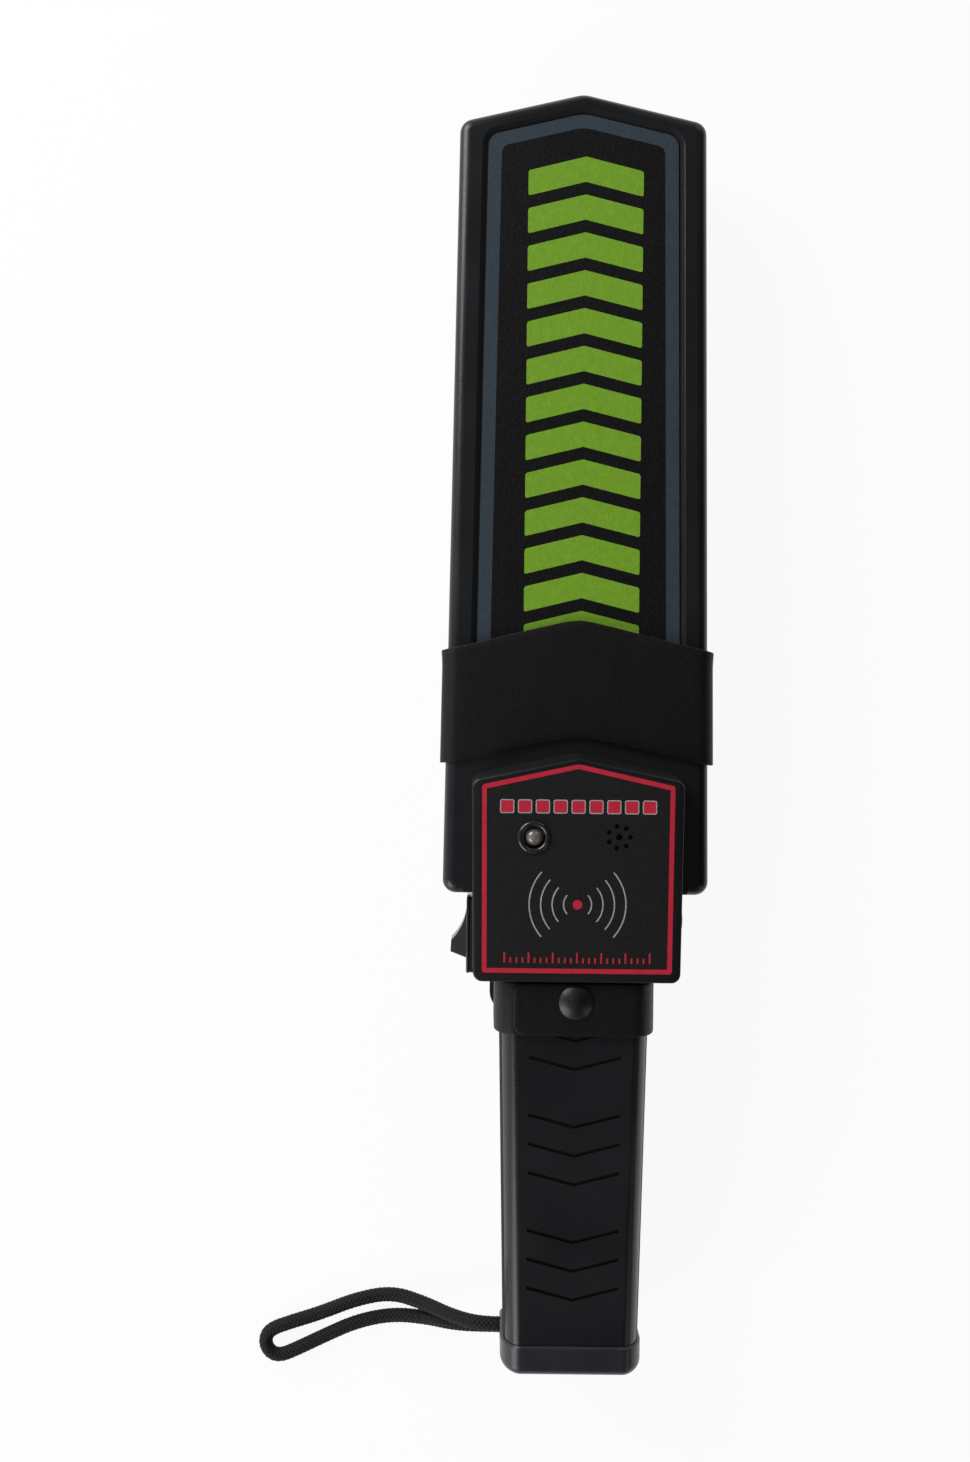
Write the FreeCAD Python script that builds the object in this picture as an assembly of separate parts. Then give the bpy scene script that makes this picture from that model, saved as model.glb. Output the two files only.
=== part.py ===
"""Hand-held security wand in its belt holster: every piece as its own solid.

Frame: the wand lies on its back. +Z points out of its front face, +Y points at the tip of
the search paddle and +X is to the right seen from the front. The origin is under the middle
of the wand, on the outer face of the holster's belt loop. All lengths are millimetres.
"""
import FreeCAD, Part
import math
import os

Vec = FreeCAD.Vector

# Leather holster, from the belt loop up to the wand's back
leather = 1.6
strap_leather = 1.3
belt_room = 5.8
wand_back = belt_room + 2 * leather

# Search paddle
tip_y = 205.0
paddle_bottom_y = -52.5
paddle_tip_half = 39.7
paddle_bottom_half = 42.8
paddle_shoulder_drop = 9.0
paddle_thick = 30.0
paddle_edge_radius = 3.4
paddle_shoulder_radius = 4.4
paddle_apex_radius = 9.0
paddle_bottom_radius = 4.2
wall = 2.4
front_wall = 2.8
inner_corner = 2.0
parting_share = 0.5

# Label sunk in the paddle's front
well_margin = 9.0
well_top_margin = 6.6
well_depth = 1.0
well_lean = 1.7
well_corner = 4.2
well_apex_radius = 7.0
label_thick = 0.5
label_gap = 0.25

# Control box: the neck of the housing and the cover on it
neck_inset = 10.4
neck_bottom_y = -79.2
neck_corner = 3.4
cover_top_y = -7.0
cover_shoulder_drop = 6.8
cover_top_inset = 9.1
cover_bottom_inset = 10.0
cover_height = 10.5
cover_wall = 2.2
cover_corner = 3.6
cover_edge_radius = 1.8
cover_apex_radius = 6.0
window_margin = 0.5
window_top_y = -19.0
window_bottom_y = -67.0
window_corner = 2.0
panel_margin = 3.1
panel_thick = 0.3
panel_corner = 1.0

# Signal lamp and sounder on the panel
lamp_inset = 11.1
lamp_y = -33.5
lamp_lens_radius = 3.05
lamp_hole_radius = 3.55
lamp_ring_radius = 5.2
lamp_ring_proud = 0.9
lamp_ring_foot = 0.8
lamp_foot_high = 1.0
sounder_inset = 12.1
sounder_y = -33.2
sounder_radius = 6.4
grille_ring_radius = 3.5
grille_hole_radius = 0.75
grille_middle_radius = 1.05
grille_holes = 7

# Handle
handle_top_half = 24.3
handle_end_half = 21.7
handle_end_y = -195.2
handle_thick = 35.0
handle_corner_x = 5.6
handle_corner_front = 10.0
handle_corner_back = 6.0
groove_half = 14.6
groove_drop = 3.8
groove_wide = 1.1
groove_deep = 1.0
groove_pitch = 9.13
groove_group_share = 0.3155
groove_first_drop = 6.7
grooves_in_group = 3
groove_groups = 3

# End cap
cap_step = 0.9
cap_height = 9.7
cap_gap = 0.1
cap_wall = 2.0
cap_corner = 3.4
cap_rim_bevel = 0.6
skirt_clearance = 0.2
skirt_depth = 8.0
skirt_wall = 1.6

# Battery, its bay and its connector
battery_long = 48.5
battery_wide = 26.5
battery_thick = 17.5
battery_corner = 2.0
battery_end_in = 7.2
bay_gap = 0.3
bay_end_gap = 1.0
bay_rib = 1.6
terminal_radius = 3.0
terminal_gap = 12.7
terminal_height = 3.0
clip_thick = 4.5
pad_thick = 3.0
pillar_x = 1.5
pillar_wide = 15.0
pillar_thick = 13.0
pillar_wall = 1.6

# Circuit board
board_inset = 7.8
board_bottom_y = -69.0
board_thick = 1.6
board_head_clear = 0.2
board_post_clear = 0.3
board_post_radius = 2.6
board_screw_radius = 1.0
board_screw_head = 2.0
board_screw_head_thick = 1.3
board_screw_long = 6.0
board_post_inset = 4.0

# Housing screws, seen from the back
screw_radius = 1.45
screw_hole_gap = 0.05
pilot_spare = 0.3
screw_head_radius = 2.7
screw_head_thick = 2.0
screw_sink_radius = 3.0
screw_sink_deep = 3.4
screw_long = 16.0
boss_radius = 4.0
paddle_screw_x = 18.0
tip_screw_y = 168.0
middle_screw_y = 70.0
neck_screw_inset = 8.8
neck_screw_y = -28.0
handle_screw_x = 11.0
handle_screw_share = 0.544
cover_screw_radius = 1.3
cover_screw_head = 2.4
cover_screw_head_thick = 1.6
cover_screw_long = 8.0
cover_screw_top_inset = 4.3
cover_screw_top_y = -20.5
cover_screw_low_inset = 5.6
cover_screw_low_y = -73.0
cover_post_radius = 2.7
cross_arm_share = 0.62
cross_half_share = 0.13
cross_deep_share = 0.6

# Search coil in the paddle
coil_bottom_y = 4.0
coil_inset = 7.0
coil_corner = 9.0
coil_wide = 4.2
coil_high = 3.4
former_wall = 1.4
former_lift = 7.0
former_foot_radius = 3.0
former_post_shares = (0.1, 0.5, 0.88)
lead_diameter = 2.2

# Rocker switch in the left wall
rocker_y = -66.5
rocker_z = 26.0
rocker_radius = 9.0
rocker_pivot_in = 0.9
rocker_tilt_deg = 13.0
rocker_tip_deg = 36.8
rocker_dish = 1.6
rocker_floor = 1.5
rocker_wide = 11.0
rocker_gap = 0.3
rocker_pin_radius = 1.4
rocker_pin_gap = 0.05
rocker_pin_reach = 1.3
frame_wall = 0.9
frame_side = 1.5
frame_depth = 8.6
frame_floor = 1.0
frame_flange = 1.4
frame_rim_y = 2.1
frame_rim_z = 0.9
wall_gap = 0.05
flange_corner = 1.2

# Push button and socket in the right wall
button_y = -61.5
button_radius = 4.0
button_travel = 1.5
button_proud = 3.2
button_gap = 0.15
button_collar = 5.0
button_collar_thick = 1.0
button_stem_radius = 1.5
button_stem_long = 3.4
button_wall_in = 3.0
bezel_radius = 6.2
bezel_sleeve_radius = 5.2
bezel_flange = 1.0
tact_side = 7.0
tact_deep = 5.0
tact_plunger = 1.2
jack_y = -72.0
jack_bore_radius = 1.8
jack_bush_radius = 2.8
jack_bush_proud = 1.5
jack_nut_radius = 3.8
jack_nut_thick = 1.3
jack_body_wide = 6.2
jack_body_long = 14.0
jack_bore_stop = 2.2

# Vibration motor
motor_x = -2.0
motor_y = -62.0
motor_radius = 3.5
motor_long = 12.0
motor_z = 16.0
motor_shaft_radius = 0.6
motor_shaft_long = 6.5
motor_shaft_gap = 0.04
weight_radius = 3.0
weight_hub_radius = 1.4
weight_long = 3.6
weight_gap = 0.8
cradle_wall = 1.5

# Holster
band_side_top_y = 25.2
band_side_bottom_y = -10.7
band_point_y = 35.0
band_notch_y = -2.7
band_point_radius = 12.0
band_gap = 0.2
band_corner = 3.6
band_back_corner = 1.0
band_flap = 13.0
back_inset = 2.2
back_neck_top_y = -30.0
back_neck_low_y = -46.0
tongue_half = 25.9
tongue_bottom_y = -96.0
tongue_corner = 7.0
back_corner = 5.0
loop_half = 19.0
loop_top_y = 14.0
loop_bottom_y = -36.0
loop_rise = 5.0
loop_foot = 11.0
loop_bend = 2.6
strap_below_neck = 0.5
strap_wide = 16.7
strap_gap = 0.15
strap_end_x = -19.5
strap_under_end_x = 7.5
strap_foot = 3.2
snap_x = 0.0
snap_drop = 6.0
snap_cap_radius = 5.35
snap_cap_height = 2.1
snap_edge = 0.5
snap_socket_radius = 3.6
snap_bore_radius = 2.0
snap_ball_radius = 1.6
snap_neck_radius = 1.1
snap_shank_radius = 1.5
snap_base_radius = 3.4
snap_base_thick = 0.5
snap_ball_high = 1.15
snap_hole_gap = 0.05
rivet_side_x = 12.0
rivet_band_inset = 7.8
rivet_band_top_y = 17.0
rivet_band_low_y = -3.0
rivet_radius = 1.5
rivet_head_radius = 3.6
rivet_head_thick = 0.9
rivet_cap_radius = 3.0
rivet_cap_thick = 0.5

# Wrist cord, its two holes in the cap and its knot
cord_diameter = 4.2
cord_hole_gap = 0.15
cord_upper_drop = 2.7
cord_upper_z = 19.8
cord_lower_drop = 4.7
cord_lower_z = 15.6
knot_radius = 4.0
knot_x = -12.9
floor_z = 2.15
cord_route = [
    (-29.2, -197.9, 19.8), (-38.4, -197.6, 14.6), (-48.2, -196.3, 6.6),
    (-59.5, -194.4, floor_z), (-71.8, -196.8, floor_z), (-84.2, -201.8, floor_z),
    (-94.4, -205.0, floor_z), (-101.6, -207.6, floor_z), (-103.3, -211.3, floor_z),
    (-101.8, -215.1, floor_z), (-98.1, -216.7, floor_z), (-91.6, -213.9, floor_z),
    (-82.0, -209.2, floor_z), (-71.6, -204.5, floor_z), (-59.5, -201.9, floor_z),
    (-47.8, -201.5, 5.5), (-37.8, -201.2, 11.4), (-29.2, -199.9, 15.6),
]

# How far a cut runs past the face it goes through, and what counts as touching
over = 1.0
touch = 1e-6
full_turn_deg = 360
run_share = 0.45

# Widths worked out from the sizes above
neck_half = paddle_bottom_half - neck_inset
cover_top_half = paddle_bottom_half - cover_top_inset
cover_bottom_half = paddle_bottom_half - cover_bottom_inset
neck_screw_x = paddle_bottom_half - neck_screw_inset
cover_screw_top_x = cover_top_half - cover_screw_top_inset
cover_screw_low_x = cover_bottom_half - cover_screw_low_inset
back_top_half = paddle_bottom_half - back_inset
rivet_band_x = paddle_bottom_half - rivet_band_inset
board_wide = 2 * (cover_bottom_half - board_inset)
window_half = board_wide / 2 - window_margin
lamp_x = lamp_inset - board_wide / 2
sounder_x = board_wide / 2 - sounder_inset

# Levels worked out from the sizes above
paddle_front = wand_back + paddle_thick
parting = wand_back + parting_share * paddle_thick
handle_front = wand_back + handle_thick
cover_front = paddle_front + cover_height
cover_ceiling = cover_front - cover_wall
board_under = paddle_front + board_head_clear + board_screw_head_thick
board_top = board_under + board_thick
board_drop = cover_ceiling - board_top
board_top_y = cover_screw_top_y - cover_post_radius - board_post_clear
back_inside = wand_back + wall
front_inside = paddle_front - front_wall
cap_end_y = handle_end_y - cap_gap - cap_height
strap_over_z = handle_front + strap_gap + strap_leather + strap_gap
strap_top_z = strap_over_z + strap_leather
handle_mid = (wand_back + handle_front) / 2
tongue_top = wand_back
strap_top_y = neck_bottom_y - strap_below_neck
strap_bottom_y = strap_top_y - strap_wide
snap_y = strap_top_y - snap_drop

# Places along the handle
groove_first_y = neck_bottom_y - groove_first_drop
groove_group_pitch = groove_group_share * (neck_bottom_y - handle_end_y)
battery_end_y = handle_end_y + battery_end_in
handle_screw_y = neck_bottom_y + handle_screw_share * (battery_end_y + battery_long - neck_bottom_y)
cord_upper_y = handle_end_y - cord_upper_drop
cord_lower_y = handle_end_y - cord_lower_drop


def save(name, shape):
    """Write one named piece."""
    shape.exportStep("parts/" + name + ".step")
    return shape


def at(x, y, z):
    return Vec(x, y, z)


def corner_arc(before, point, after, radius):
    """Tangent arc that rounds one corner of a polygon: its start, middle and end."""
    back = (before - point).normalize()
    ahead = (after - point).normalize()
    half = back.getAngle(ahead) / 2
    reach = radius / math.tan(half)
    bisector = (back + ahead).normalize()
    centre = point + bisector * (radius / math.sin(half))
    return point + back * reach, centre - bisector * radius, point + ahead * reach


def outline(points, radii, z=0.0):
    """Closed flat wire through the points, each corner rounded by its radius."""
    corners = [at(x, y, z) for x, y in points]
    count = len(corners)
    edges = []
    ends = []
    for i, point in enumerate(corners):
        if radii[i] > 0:
            start, middle, end = corner_arc(corners[i - 1], point, corners[(i + 1) % count], radii[i])
            ends.append((start, end))
            edges.append(Part.Arc(start, middle, end).toShape())
        else:
            ends.append((point, point))
    for i in range(count):
        edges.append(Part.makeLine(ends[i - 1][1], ends[i][0]))
    return Part.Wire(Part.__sortEdges__(edges))


def prism(wire, low, high):
    """Solid between two heights over a flat wire."""
    face = Part.Face(wire)
    face.translate(at(0, 0, low - wire.BoundBox.ZMin))
    return face.extrude(at(0, 0, high - low))


def inset(points, distances):
    """The same polygon, each side moved inwards by its own distance. The points run anticlockwise."""
    lines = []
    for i, (x, y) in enumerate(points):
        px, py = points[i - 1]
        along = Vec(x - px, y - py, 0).normalize()
        lines.append((Vec(px - along.y * distances[i], py + along.x * distances[i], 0), along))
    moved = []
    for i, (start, along) in enumerate(lines):
        other, way = lines[(i + 1) % len(lines)]
        cross = along.x * way.y - along.y * way.x
        gap = other - start
        reach = (gap.x * way.y - gap.y * way.x) / cross
        hit = start + along * reach
        moved.append((hit.x, hit.y))
    return moved


def block(x0, x1, y0, y1, z0, z1):
    return Part.makeBox(x1 - x0, y1 - y0, z1 - z0, at(x0, y0, z0))


def rod(x, y, z0, z1, radius):
    """Upright round bar."""
    return Part.makeCylinder(radius, z1 - z0, at(x, y, z0))


def bar_x(x0, x1, y, z, radius):
    """Round bar along X."""
    return Part.makeCylinder(radius, x1 - x0, at(x0, y, z), at(1, 0, 0))


def edges_at(shape, level):
    """Edges that lie wholly at one height."""
    boxes = [(e, e.BoundBox) for e in shape.Edges]
    return [e for e, box in boxes if max(abs(box.ZMin - level), abs(box.ZMax - level)) < touch]


def quarter(cx, cz, rx, rz, sx, sz, y):
    """Quarter of an ellipse in the plane at y, between the corner's two flats."""
    long_end = at(cx, y, cz + sz * rz) if rz > rx else at(cx + sx * rx, y, cz)
    short_end = at(cx + sx * rx, y, cz) if rz > rx else at(cx, y, cz + sz * rz)
    if abs(rx - rz) < touch:
        middle = at(cx + sx * rx * math.sqrt(0.5), y, cz + sz * rz * math.sqrt(0.5))
        return Part.Arc(long_end, middle, short_end).toShape()
    ellipse = Part.Ellipse(long_end, short_end, at(cx, y, cz))
    return Part.ArcOfEllipse(ellipse, 0, math.pi / 2).toShape()


def section(half, low, high, front_corner, back_corner, y):
    """Upright cross-section of the handle, band or strap. A corner is its width and height."""
    rx, rz_front = front_corner
    back_rx, rz_back = back_corner
    cx = half - rx
    back_cx = half - back_rx
    front = high - rz_front
    back = low + rz_back
    edges = [
        quarter(cx, front, rx, rz_front, 1, 1, y),
        quarter(-cx, front, rx, rz_front, -1, 1, y),
        quarter(-back_cx, back, back_rx, rz_back, -1, -1, y),
        quarter(back_cx, back, back_rx, rz_back, 1, -1, y),
        Part.makeLine(at(cx, y, high), at(-cx, y, high)),
        Part.makeLine(at(-half, y, front), at(-half, y, back)),
        Part.makeLine(at(-back_cx, y, low), at(back_cx, y, low)),
        Part.makeLine(at(half, y, back), at(half, y, front)),
    ]
    return Part.Wire(Part.__sortEdges__(edges))


def paddle_half(y):
    """Half the paddle's width at one place along it."""
    shoulder = tip_y - paddle_shoulder_drop
    share = (shoulder - y) / (shoulder - paddle_bottom_y)
    return paddle_tip_half + (paddle_bottom_half - paddle_tip_half) * share


def handle_half(y):
    """Half the handle's width at one place along it."""
    share = (neck_bottom_y - y) / (neck_bottom_y - handle_end_y)
    return handle_top_half + (handle_end_half - handle_top_half) * share


def sharp_lead(half, drop, radius):
    """How far the sharp corner of a low gable stands beyond its rounded apex."""
    a = (half / radius) ** 2 - 1
    b = half ** 2 / radius - drop
    return (math.sqrt(b ** 2 + a * drop ** 2) - b) / a


def paddle_points(sides, slopes):
    """Corners of the paddle moved in: by one distance at its sides, by another at its gable."""
    shoulder = tip_y - paddle_shoulder_drop
    apex = tip_y + sharp_lead(paddle_tip_half, paddle_shoulder_drop, paddle_apex_radius)
    points = [
        (-paddle_bottom_half, paddle_bottom_y), (paddle_bottom_half, paddle_bottom_y),
        (paddle_tip_half, shoulder), (0, apex), (-paddle_tip_half, shoulder),
    ]
    return inset(points, [sides] * 3 + [slopes] * 2)


def cover_points(distance):
    """Corners of the control cover, every side moved in."""
    shoulder = cover_top_y - cover_shoulder_drop
    apex = cover_top_y + sharp_lead(cover_top_half, cover_shoulder_drop, cover_apex_radius)
    points = [
        (-cover_bottom_half, neck_bottom_y), (cover_bottom_half, neck_bottom_y),
        (cover_top_half, shoulder), (0, apex), (-cover_top_half, shoulder),
    ]
    return inset(points, [distance] * len(points))


def paddle_outline(distance, radius_cut=0.0):
    low = max(paddle_bottom_radius - radius_cut, inner_corner)
    high = max(paddle_shoulder_radius - radius_cut, inner_corner)
    radii = [low, low, high, paddle_apex_radius, high]
    return outline(paddle_points(distance, distance), radii)


def handle_solid(thin, y_top, y_end):
    """Handle between two places, every wall moved in by the same amount."""
    rings = []
    for y in (y_top, y_end):
        rings.append(section(
            handle_half(y) - thin, wand_back + thin, handle_front - thin,
            (handle_corner_x - thin, handle_corner_front - thin),
            (handle_corner_x - thin, handle_corner_back - thin), y))
    return Part.makeLoft(rings, True, True)


def neck_solid(thin, low, high):
    points = inset([
        (-neck_half, neck_bottom_y), (neck_half, neck_bottom_y),
        (neck_half, paddle_bottom_y + 2 * neck_corner), (-neck_half, paddle_bottom_y + 2 * neck_corner),
    ], [thin] * 4)
    corner = neck_corner - thin
    return prism(outline(points, [corner, corner, 0, 0]), low, high)


def wand_outside():
    """Whole outer form of the housing, before it is split in two."""
    paddle = prism(paddle_outline(0), wand_back, paddle_front)
    rims = edges_at(paddle, wand_back) + edges_at(paddle, paddle_front)
    paddle = paddle.makeFillet(paddle_edge_radius, rims)
    neck = neck_solid(0, wand_back, paddle_front)
    handle = handle_solid(0, neck_bottom_y + neck_corner, handle_end_y)
    handle = handle.cut(block(-neck_half, neck_half, neck_bottom_y, 0, paddle_front, cover_front))
    return paddle.fuse([neck, handle]).removeSplitter()


def wand_inside():
    """Room inside the housing."""
    paddle = prism(paddle_outline(wall, wall), back_inside, front_inside)
    neck = neck_solid(wall, back_inside, front_inside)
    handle = handle_solid(wall, neck_bottom_y + wall + neck_corner, handle_end_y - over)
    handle = handle.cut(block(-neck_half, neck_half, neck_bottom_y - wall, 0, front_inside, cover_front))
    return paddle.fuse([neck, handle])


def split_box(low, high):
    reach = paddle_bottom_half + over
    return block(-reach, reach, handle_end_y - 2 * over, tip_y + over, low, high)


def chevrons(low, high):
    """Grip grooves: groups of V cuts that point at the end cap."""
    cuts = []
    for group in range(groove_groups):
        for row in range(grooves_in_group):
            y = groove_first_y - group * groove_group_pitch - row * groove_pitch
            tip = y - groove_drop
            points = [
                (-groove_half, y), (0, tip), (groove_half, y),
                (groove_half, y + groove_wide), (0, tip + groove_wide), (-groove_half, y + groove_wide),
            ]
            cuts.append(prism(outline(points, [0] * len(points)), low, high))
    return cuts


def screw_places():
    """Where the housing screws stand."""
    return [
        (-paddle_screw_x, tip_screw_y), (paddle_screw_x, tip_screw_y),
        (-paddle_screw_x, middle_screw_y), (paddle_screw_x, middle_screw_y),
        (-neck_screw_x, neck_screw_y), (neck_screw_x, neck_screw_y),
        (-handle_screw_x, handle_screw_y), (handle_screw_x, handle_screw_y),
    ]


def cover_screw_places():
    return [
        (-cover_screw_top_x, cover_screw_top_y), (cover_screw_top_x, cover_screw_top_y),
        (-cover_screw_low_x, cover_screw_low_y), (cover_screw_low_x, cover_screw_low_y),
    ]


def board_posts():
    x = board_wide / 2 - board_post_inset
    return [
        (-x, board_top_y - board_post_inset), (x, board_top_y - board_post_inset),
        (-x, board_bottom_y + board_post_inset), (x, board_bottom_y + board_post_inset),
    ]


def housing_cuts():
    """Openings shared by both halves: the switch, the button, the socket."""
    frame_y = rocker_radius + rocker_gap + frame_wall + wall_gap
    frame_z = rocker_wide / 2 + rocker_gap + frame_side + wall_gap
    left = block(-neck_half - over, -neck_half + wall + over,
                 rocker_y - frame_y, rocker_y + frame_y, rocker_z - frame_z, rocker_z + frame_z)
    button = bar_x(neck_half - wall - over, neck_half + over, button_y, rocker_z,
                   bezel_sleeve_radius + wall_gap)
    jack = bar_x(neck_half - wall - over, neck_half + over, jack_y, rocker_z,
                 jack_bush_radius + wall_gap)
    return [left, button, jack]


def bay_ribs(low, high):
    """Two long ribs that the battery lies between, from its bay's mouth inwards."""
    inner = battery_wide / 2 + bay_gap
    y0 = handle_end_y + skirt_depth + bay_end_gap
    y1 = battery_end_y + battery_long
    return [block(inner, inner + bay_rib, y0, y1, low, high),
            block(-inner - bay_rib, -inner, y0, y1, low, high)]


def bay_rails(low, high):
    """Two rails under or over the battery."""
    y0 = handle_end_y + skirt_depth + bay_end_gap
    y1 = battery_end_y + battery_long
    middle = battery_wide / 4
    return [block(side * middle - bay_rib / 2, side * middle + bay_rib / 2, y0, y1, low, high)
            for side in (-1, 1)]


def label_ring(distance, z=0.0):
    """The label's outline before its lower end: the paddle's own, moved in."""
    corner = well_corner - distance
    radii = [corner, corner, corner, well_apex_radius - distance, corner]
    corners = paddle_points(well_margin + distance, well_top_margin + distance)
    return outline(corners, radii, z)


def label_end(distance, low, high):
    """Room below the label: it ends in a V above the control box."""
    corners = cover_points(-well_margin - distance)
    return prism(outline(corners, [0] * len(corners)), low, high)


def label_well():
    """The well the label lies in: a flat floor and a wall that leans outwards."""
    floor = paddle_front - well_depth
    top = paddle_front + over
    lean = well_lean * (top - floor) / well_depth
    room = Part.makeLoft([label_ring(0, floor), label_ring(-lean, top)], True, True)
    return room.cut(label_end(0, floor - over, top + over))


def front_housing(outside, inside):
    shape = outside.common(split_box(parting, cover_front)).cut(inside)
    pilot = screw_radius + screw_hole_gap
    reach = wand_back + screw_sink_deep + screw_long + pilot_spare
    bosses = []
    holes = []
    for x, y in screw_places():
        ceiling = handle_front - wall if y < neck_bottom_y else front_inside
        bosses.append(rod(x, y, parting, ceiling + wall / 2, boss_radius))
        holes.append(rod(x, y, parting - over, reach, pilot))
    top = handle_mid + battery_thick / 2 + bay_gap
    bosses += bay_rails(top, handle_front - wall / 2)
    shape = shape.fuse(bosses).cut(holes)
    window = outline([
        (-window_half, window_bottom_y), (window_half, window_bottom_y),
        (window_half, window_top_y), (-window_half, window_top_y)], [window_corner] * 4)
    cuts = [prism(window, front_inside - over, paddle_front + over)]
    cuts += [rod(x, y, front_inside - over, paddle_front + over, cover_screw_radius + screw_hole_gap)
             for x, y in cover_screw_places()]
    cuts.append(label_well())
    cuts += chevrons(handle_front - groove_deep, handle_front + over)
    return shape.cut(cuts + housing_cuts())


def former_posts():
    places = []
    middle = coil_inset + former_wall + coil_wide / 2
    for share in former_post_shares:
        y = coil_bottom_y + (tip_y - coil_bottom_y) * share
        places += [(side * (paddle_half(y) - middle), y) for side in (-1, 1)]
    return places


def rear_housing(outside, inside):
    shape = outside.common(split_box(wand_back - over, parting)).cut(inside)
    pilot = screw_radius + screw_hole_gap
    seat = wand_back + screw_sink_deep
    added = []
    holes = []
    for x, y in screw_places():
        added.append(rod(x, y, wand_back + wall / 2, parting, boss_radius))
        holes.append(rod(x, y, wand_back - over, parting + over, pilot))
        holes.append(rod(x, y, wand_back - over, seat, screw_sink_radius))
    for x, y in former_posts():
        added.append(rod(x, y, wand_back + wall / 2, back_inside + former_lift, former_foot_radius))
    added += bay_ribs(wand_back + wall / 2, parting)
    added += bay_rails(wand_back + wall / 2, handle_mid - battery_thick / 2 - bay_gap)
    added.append(motor_cradle())
    added.append(switch_pedestal())
    shape = shape.fuse(added)
    holes.append(bar_x(motor_x - motor_long / 2 - over, motor_x + motor_long / 2 + over,
                       motor_y, motor_z, motor_radius))
    holes += chevrons(wand_back - over, wand_back + groove_deep)
    return shape.cut(holes + housing_cuts())


def motor_cradle():
    half = motor_radius + cradle_wall
    return block(motor_x - motor_long / 2, motor_x + motor_long / 2,
                 motor_y - half, motor_y + half, wand_back + wall / 2, motor_z)


def tact_face_x():
    """Where the inner switch's front face stands, clear of the pressed button."""
    stem_end = neck_half - button_wall_in - button_gap - button_collar_thick - button_stem_long
    return stem_end - button_travel - 2 * button_gap - tact_plunger


def switch_pedestal():
    face = tact_face_x()
    return block(face - tact_deep, face, button_y - tact_side / 2, button_y + tact_side / 2,
                 wand_back + wall / 2, rocker_z - tact_side / 2)


def control_cover():
    outer_radii = [cover_corner, cover_corner, cover_corner, cover_apex_radius, cover_corner]
    shape = prism(outline(cover_points(0), outer_radii), paddle_front, cover_front)
    shape = shape.makeFillet(cover_edge_radius, edges_at(shape, cover_front))
    inner_radii = [radius - cover_wall for radius in outer_radii]
    room = prism(outline(cover_points(cover_wall), inner_radii), paddle_front - over, cover_ceiling)
    shape = shape.cut(room)
    high = cover_ceiling + cover_wall / 2
    posts = [rod(x, y, board_top, high, board_post_radius) for x, y in board_posts()]
    posts += [rod(x, y, paddle_front, high, cover_post_radius) for x, y in cover_screw_places()]
    shape = shape.fuse(posts).removeSplitter()
    cuts = [rod(x, y, board_top - over, board_under + board_screw_long + pilot_spare,
                board_screw_radius + screw_hole_gap) for x, y in board_posts()]
    cuts += [rod(x, y, paddle_front - over, front_inside + cover_screw_long + pilot_spare,
                 cover_screw_radius + screw_hole_gap) for x, y in cover_screw_places()]
    cuts.append(prism(panel_outline(0), cover_front - panel_thick, cover_front + over))
    cuts += panel_holes(lamp_hole_radius + lamp_ring_foot + wall_gap)
    return shape.cut(cuts)


def panel_outline(distance):
    corner = panel_corner
    return outline(cover_points(panel_margin + distance), [corner, corner, corner, 2 * corner, corner])


def panel_holes(lamp_radius):
    """Holes through the panel: one for the lamp, the rest for the sounder's grille."""
    low = cover_ceiling - over
    high = cover_front + over
    holes = [rod(lamp_x, lamp_y, low, high, lamp_radius)]
    holes.append(rod(sounder_x, sounder_y, low, high, grille_middle_radius))
    for i in range(grille_holes):
        turn = 2 * math.pi * i / grille_holes
        x = sounder_x + grille_ring_radius * math.cos(turn)
        y = sounder_y + grille_ring_radius * math.sin(turn)
        holes.append(rod(x, y, low, high, grille_hole_radius))
    return holes


def panel_label():
    plate = prism(panel_outline(label_gap / 2), cover_front - panel_thick, cover_front)
    return plate.cut(panel_holes(lamp_hole_radius + lamp_ring_foot + wall_gap))


def paddle_label():
    low = paddle_front - well_depth
    high = low + label_thick
    return prism(label_ring(label_gap), low, high).cut(label_end(label_gap, low - over, high + over))


def led_bezel():
    """Turned ring round the signal lamp: a rounded lip and a foot through the panel."""
    foot = lamp_hole_radius + lamp_ring_foot
    top = cover_front + lamp_ring_proud
    mid = (lamp_hole_radius + lamp_ring_radius) / 2
    points = [at(lamp_hole_radius, 0, cover_ceiling), at(foot, 0, cover_ceiling), at(foot, 0, cover_front),
              at(lamp_ring_radius, 0, cover_front)]
    edges = [Part.makeLine(points[i], points[i + 1]) for i in range(3)]
    lip = at(lamp_hole_radius, 0, cover_front + lamp_ring_proud / 3)
    edges.append(Part.Arc(points[3], at(mid, 0, top), lip).toShape())
    edges.append(Part.makeLine(lip, points[0]))
    ring = Part.Face(Part.Wire(edges)).revolve(at(0, 0, 0), at(0, 0, 1), full_turn_deg)
    ring.translate(at(lamp_x, lamp_y, 0))
    return ring


def led_lens():
    """Lamp with its domed top and a wider foot that stands on the board."""
    tip = cover_front + lamp_ring_proud / 2
    body = rod(lamp_x, lamp_y, board_top, tip - lamp_lens_radius, lamp_lens_radius)
    dome = Part.makeSphere(lamp_lens_radius, at(lamp_x, lamp_y, tip - lamp_lens_radius))
    foot = rod(lamp_x, lamp_y, board_top, board_top + lamp_foot_high, lamp_hole_radius)
    return body.fuse([dome, foot]).removeSplitter()


def buzzer():
    can = rod(sounder_x, sounder_y, board_top, cover_ceiling - label_gap, sounder_radius)
    mouth = rod(sounder_x, sounder_y, cover_ceiling - over, cover_ceiling + over, grille_middle_radius)
    return can.cut(mouth)


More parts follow.
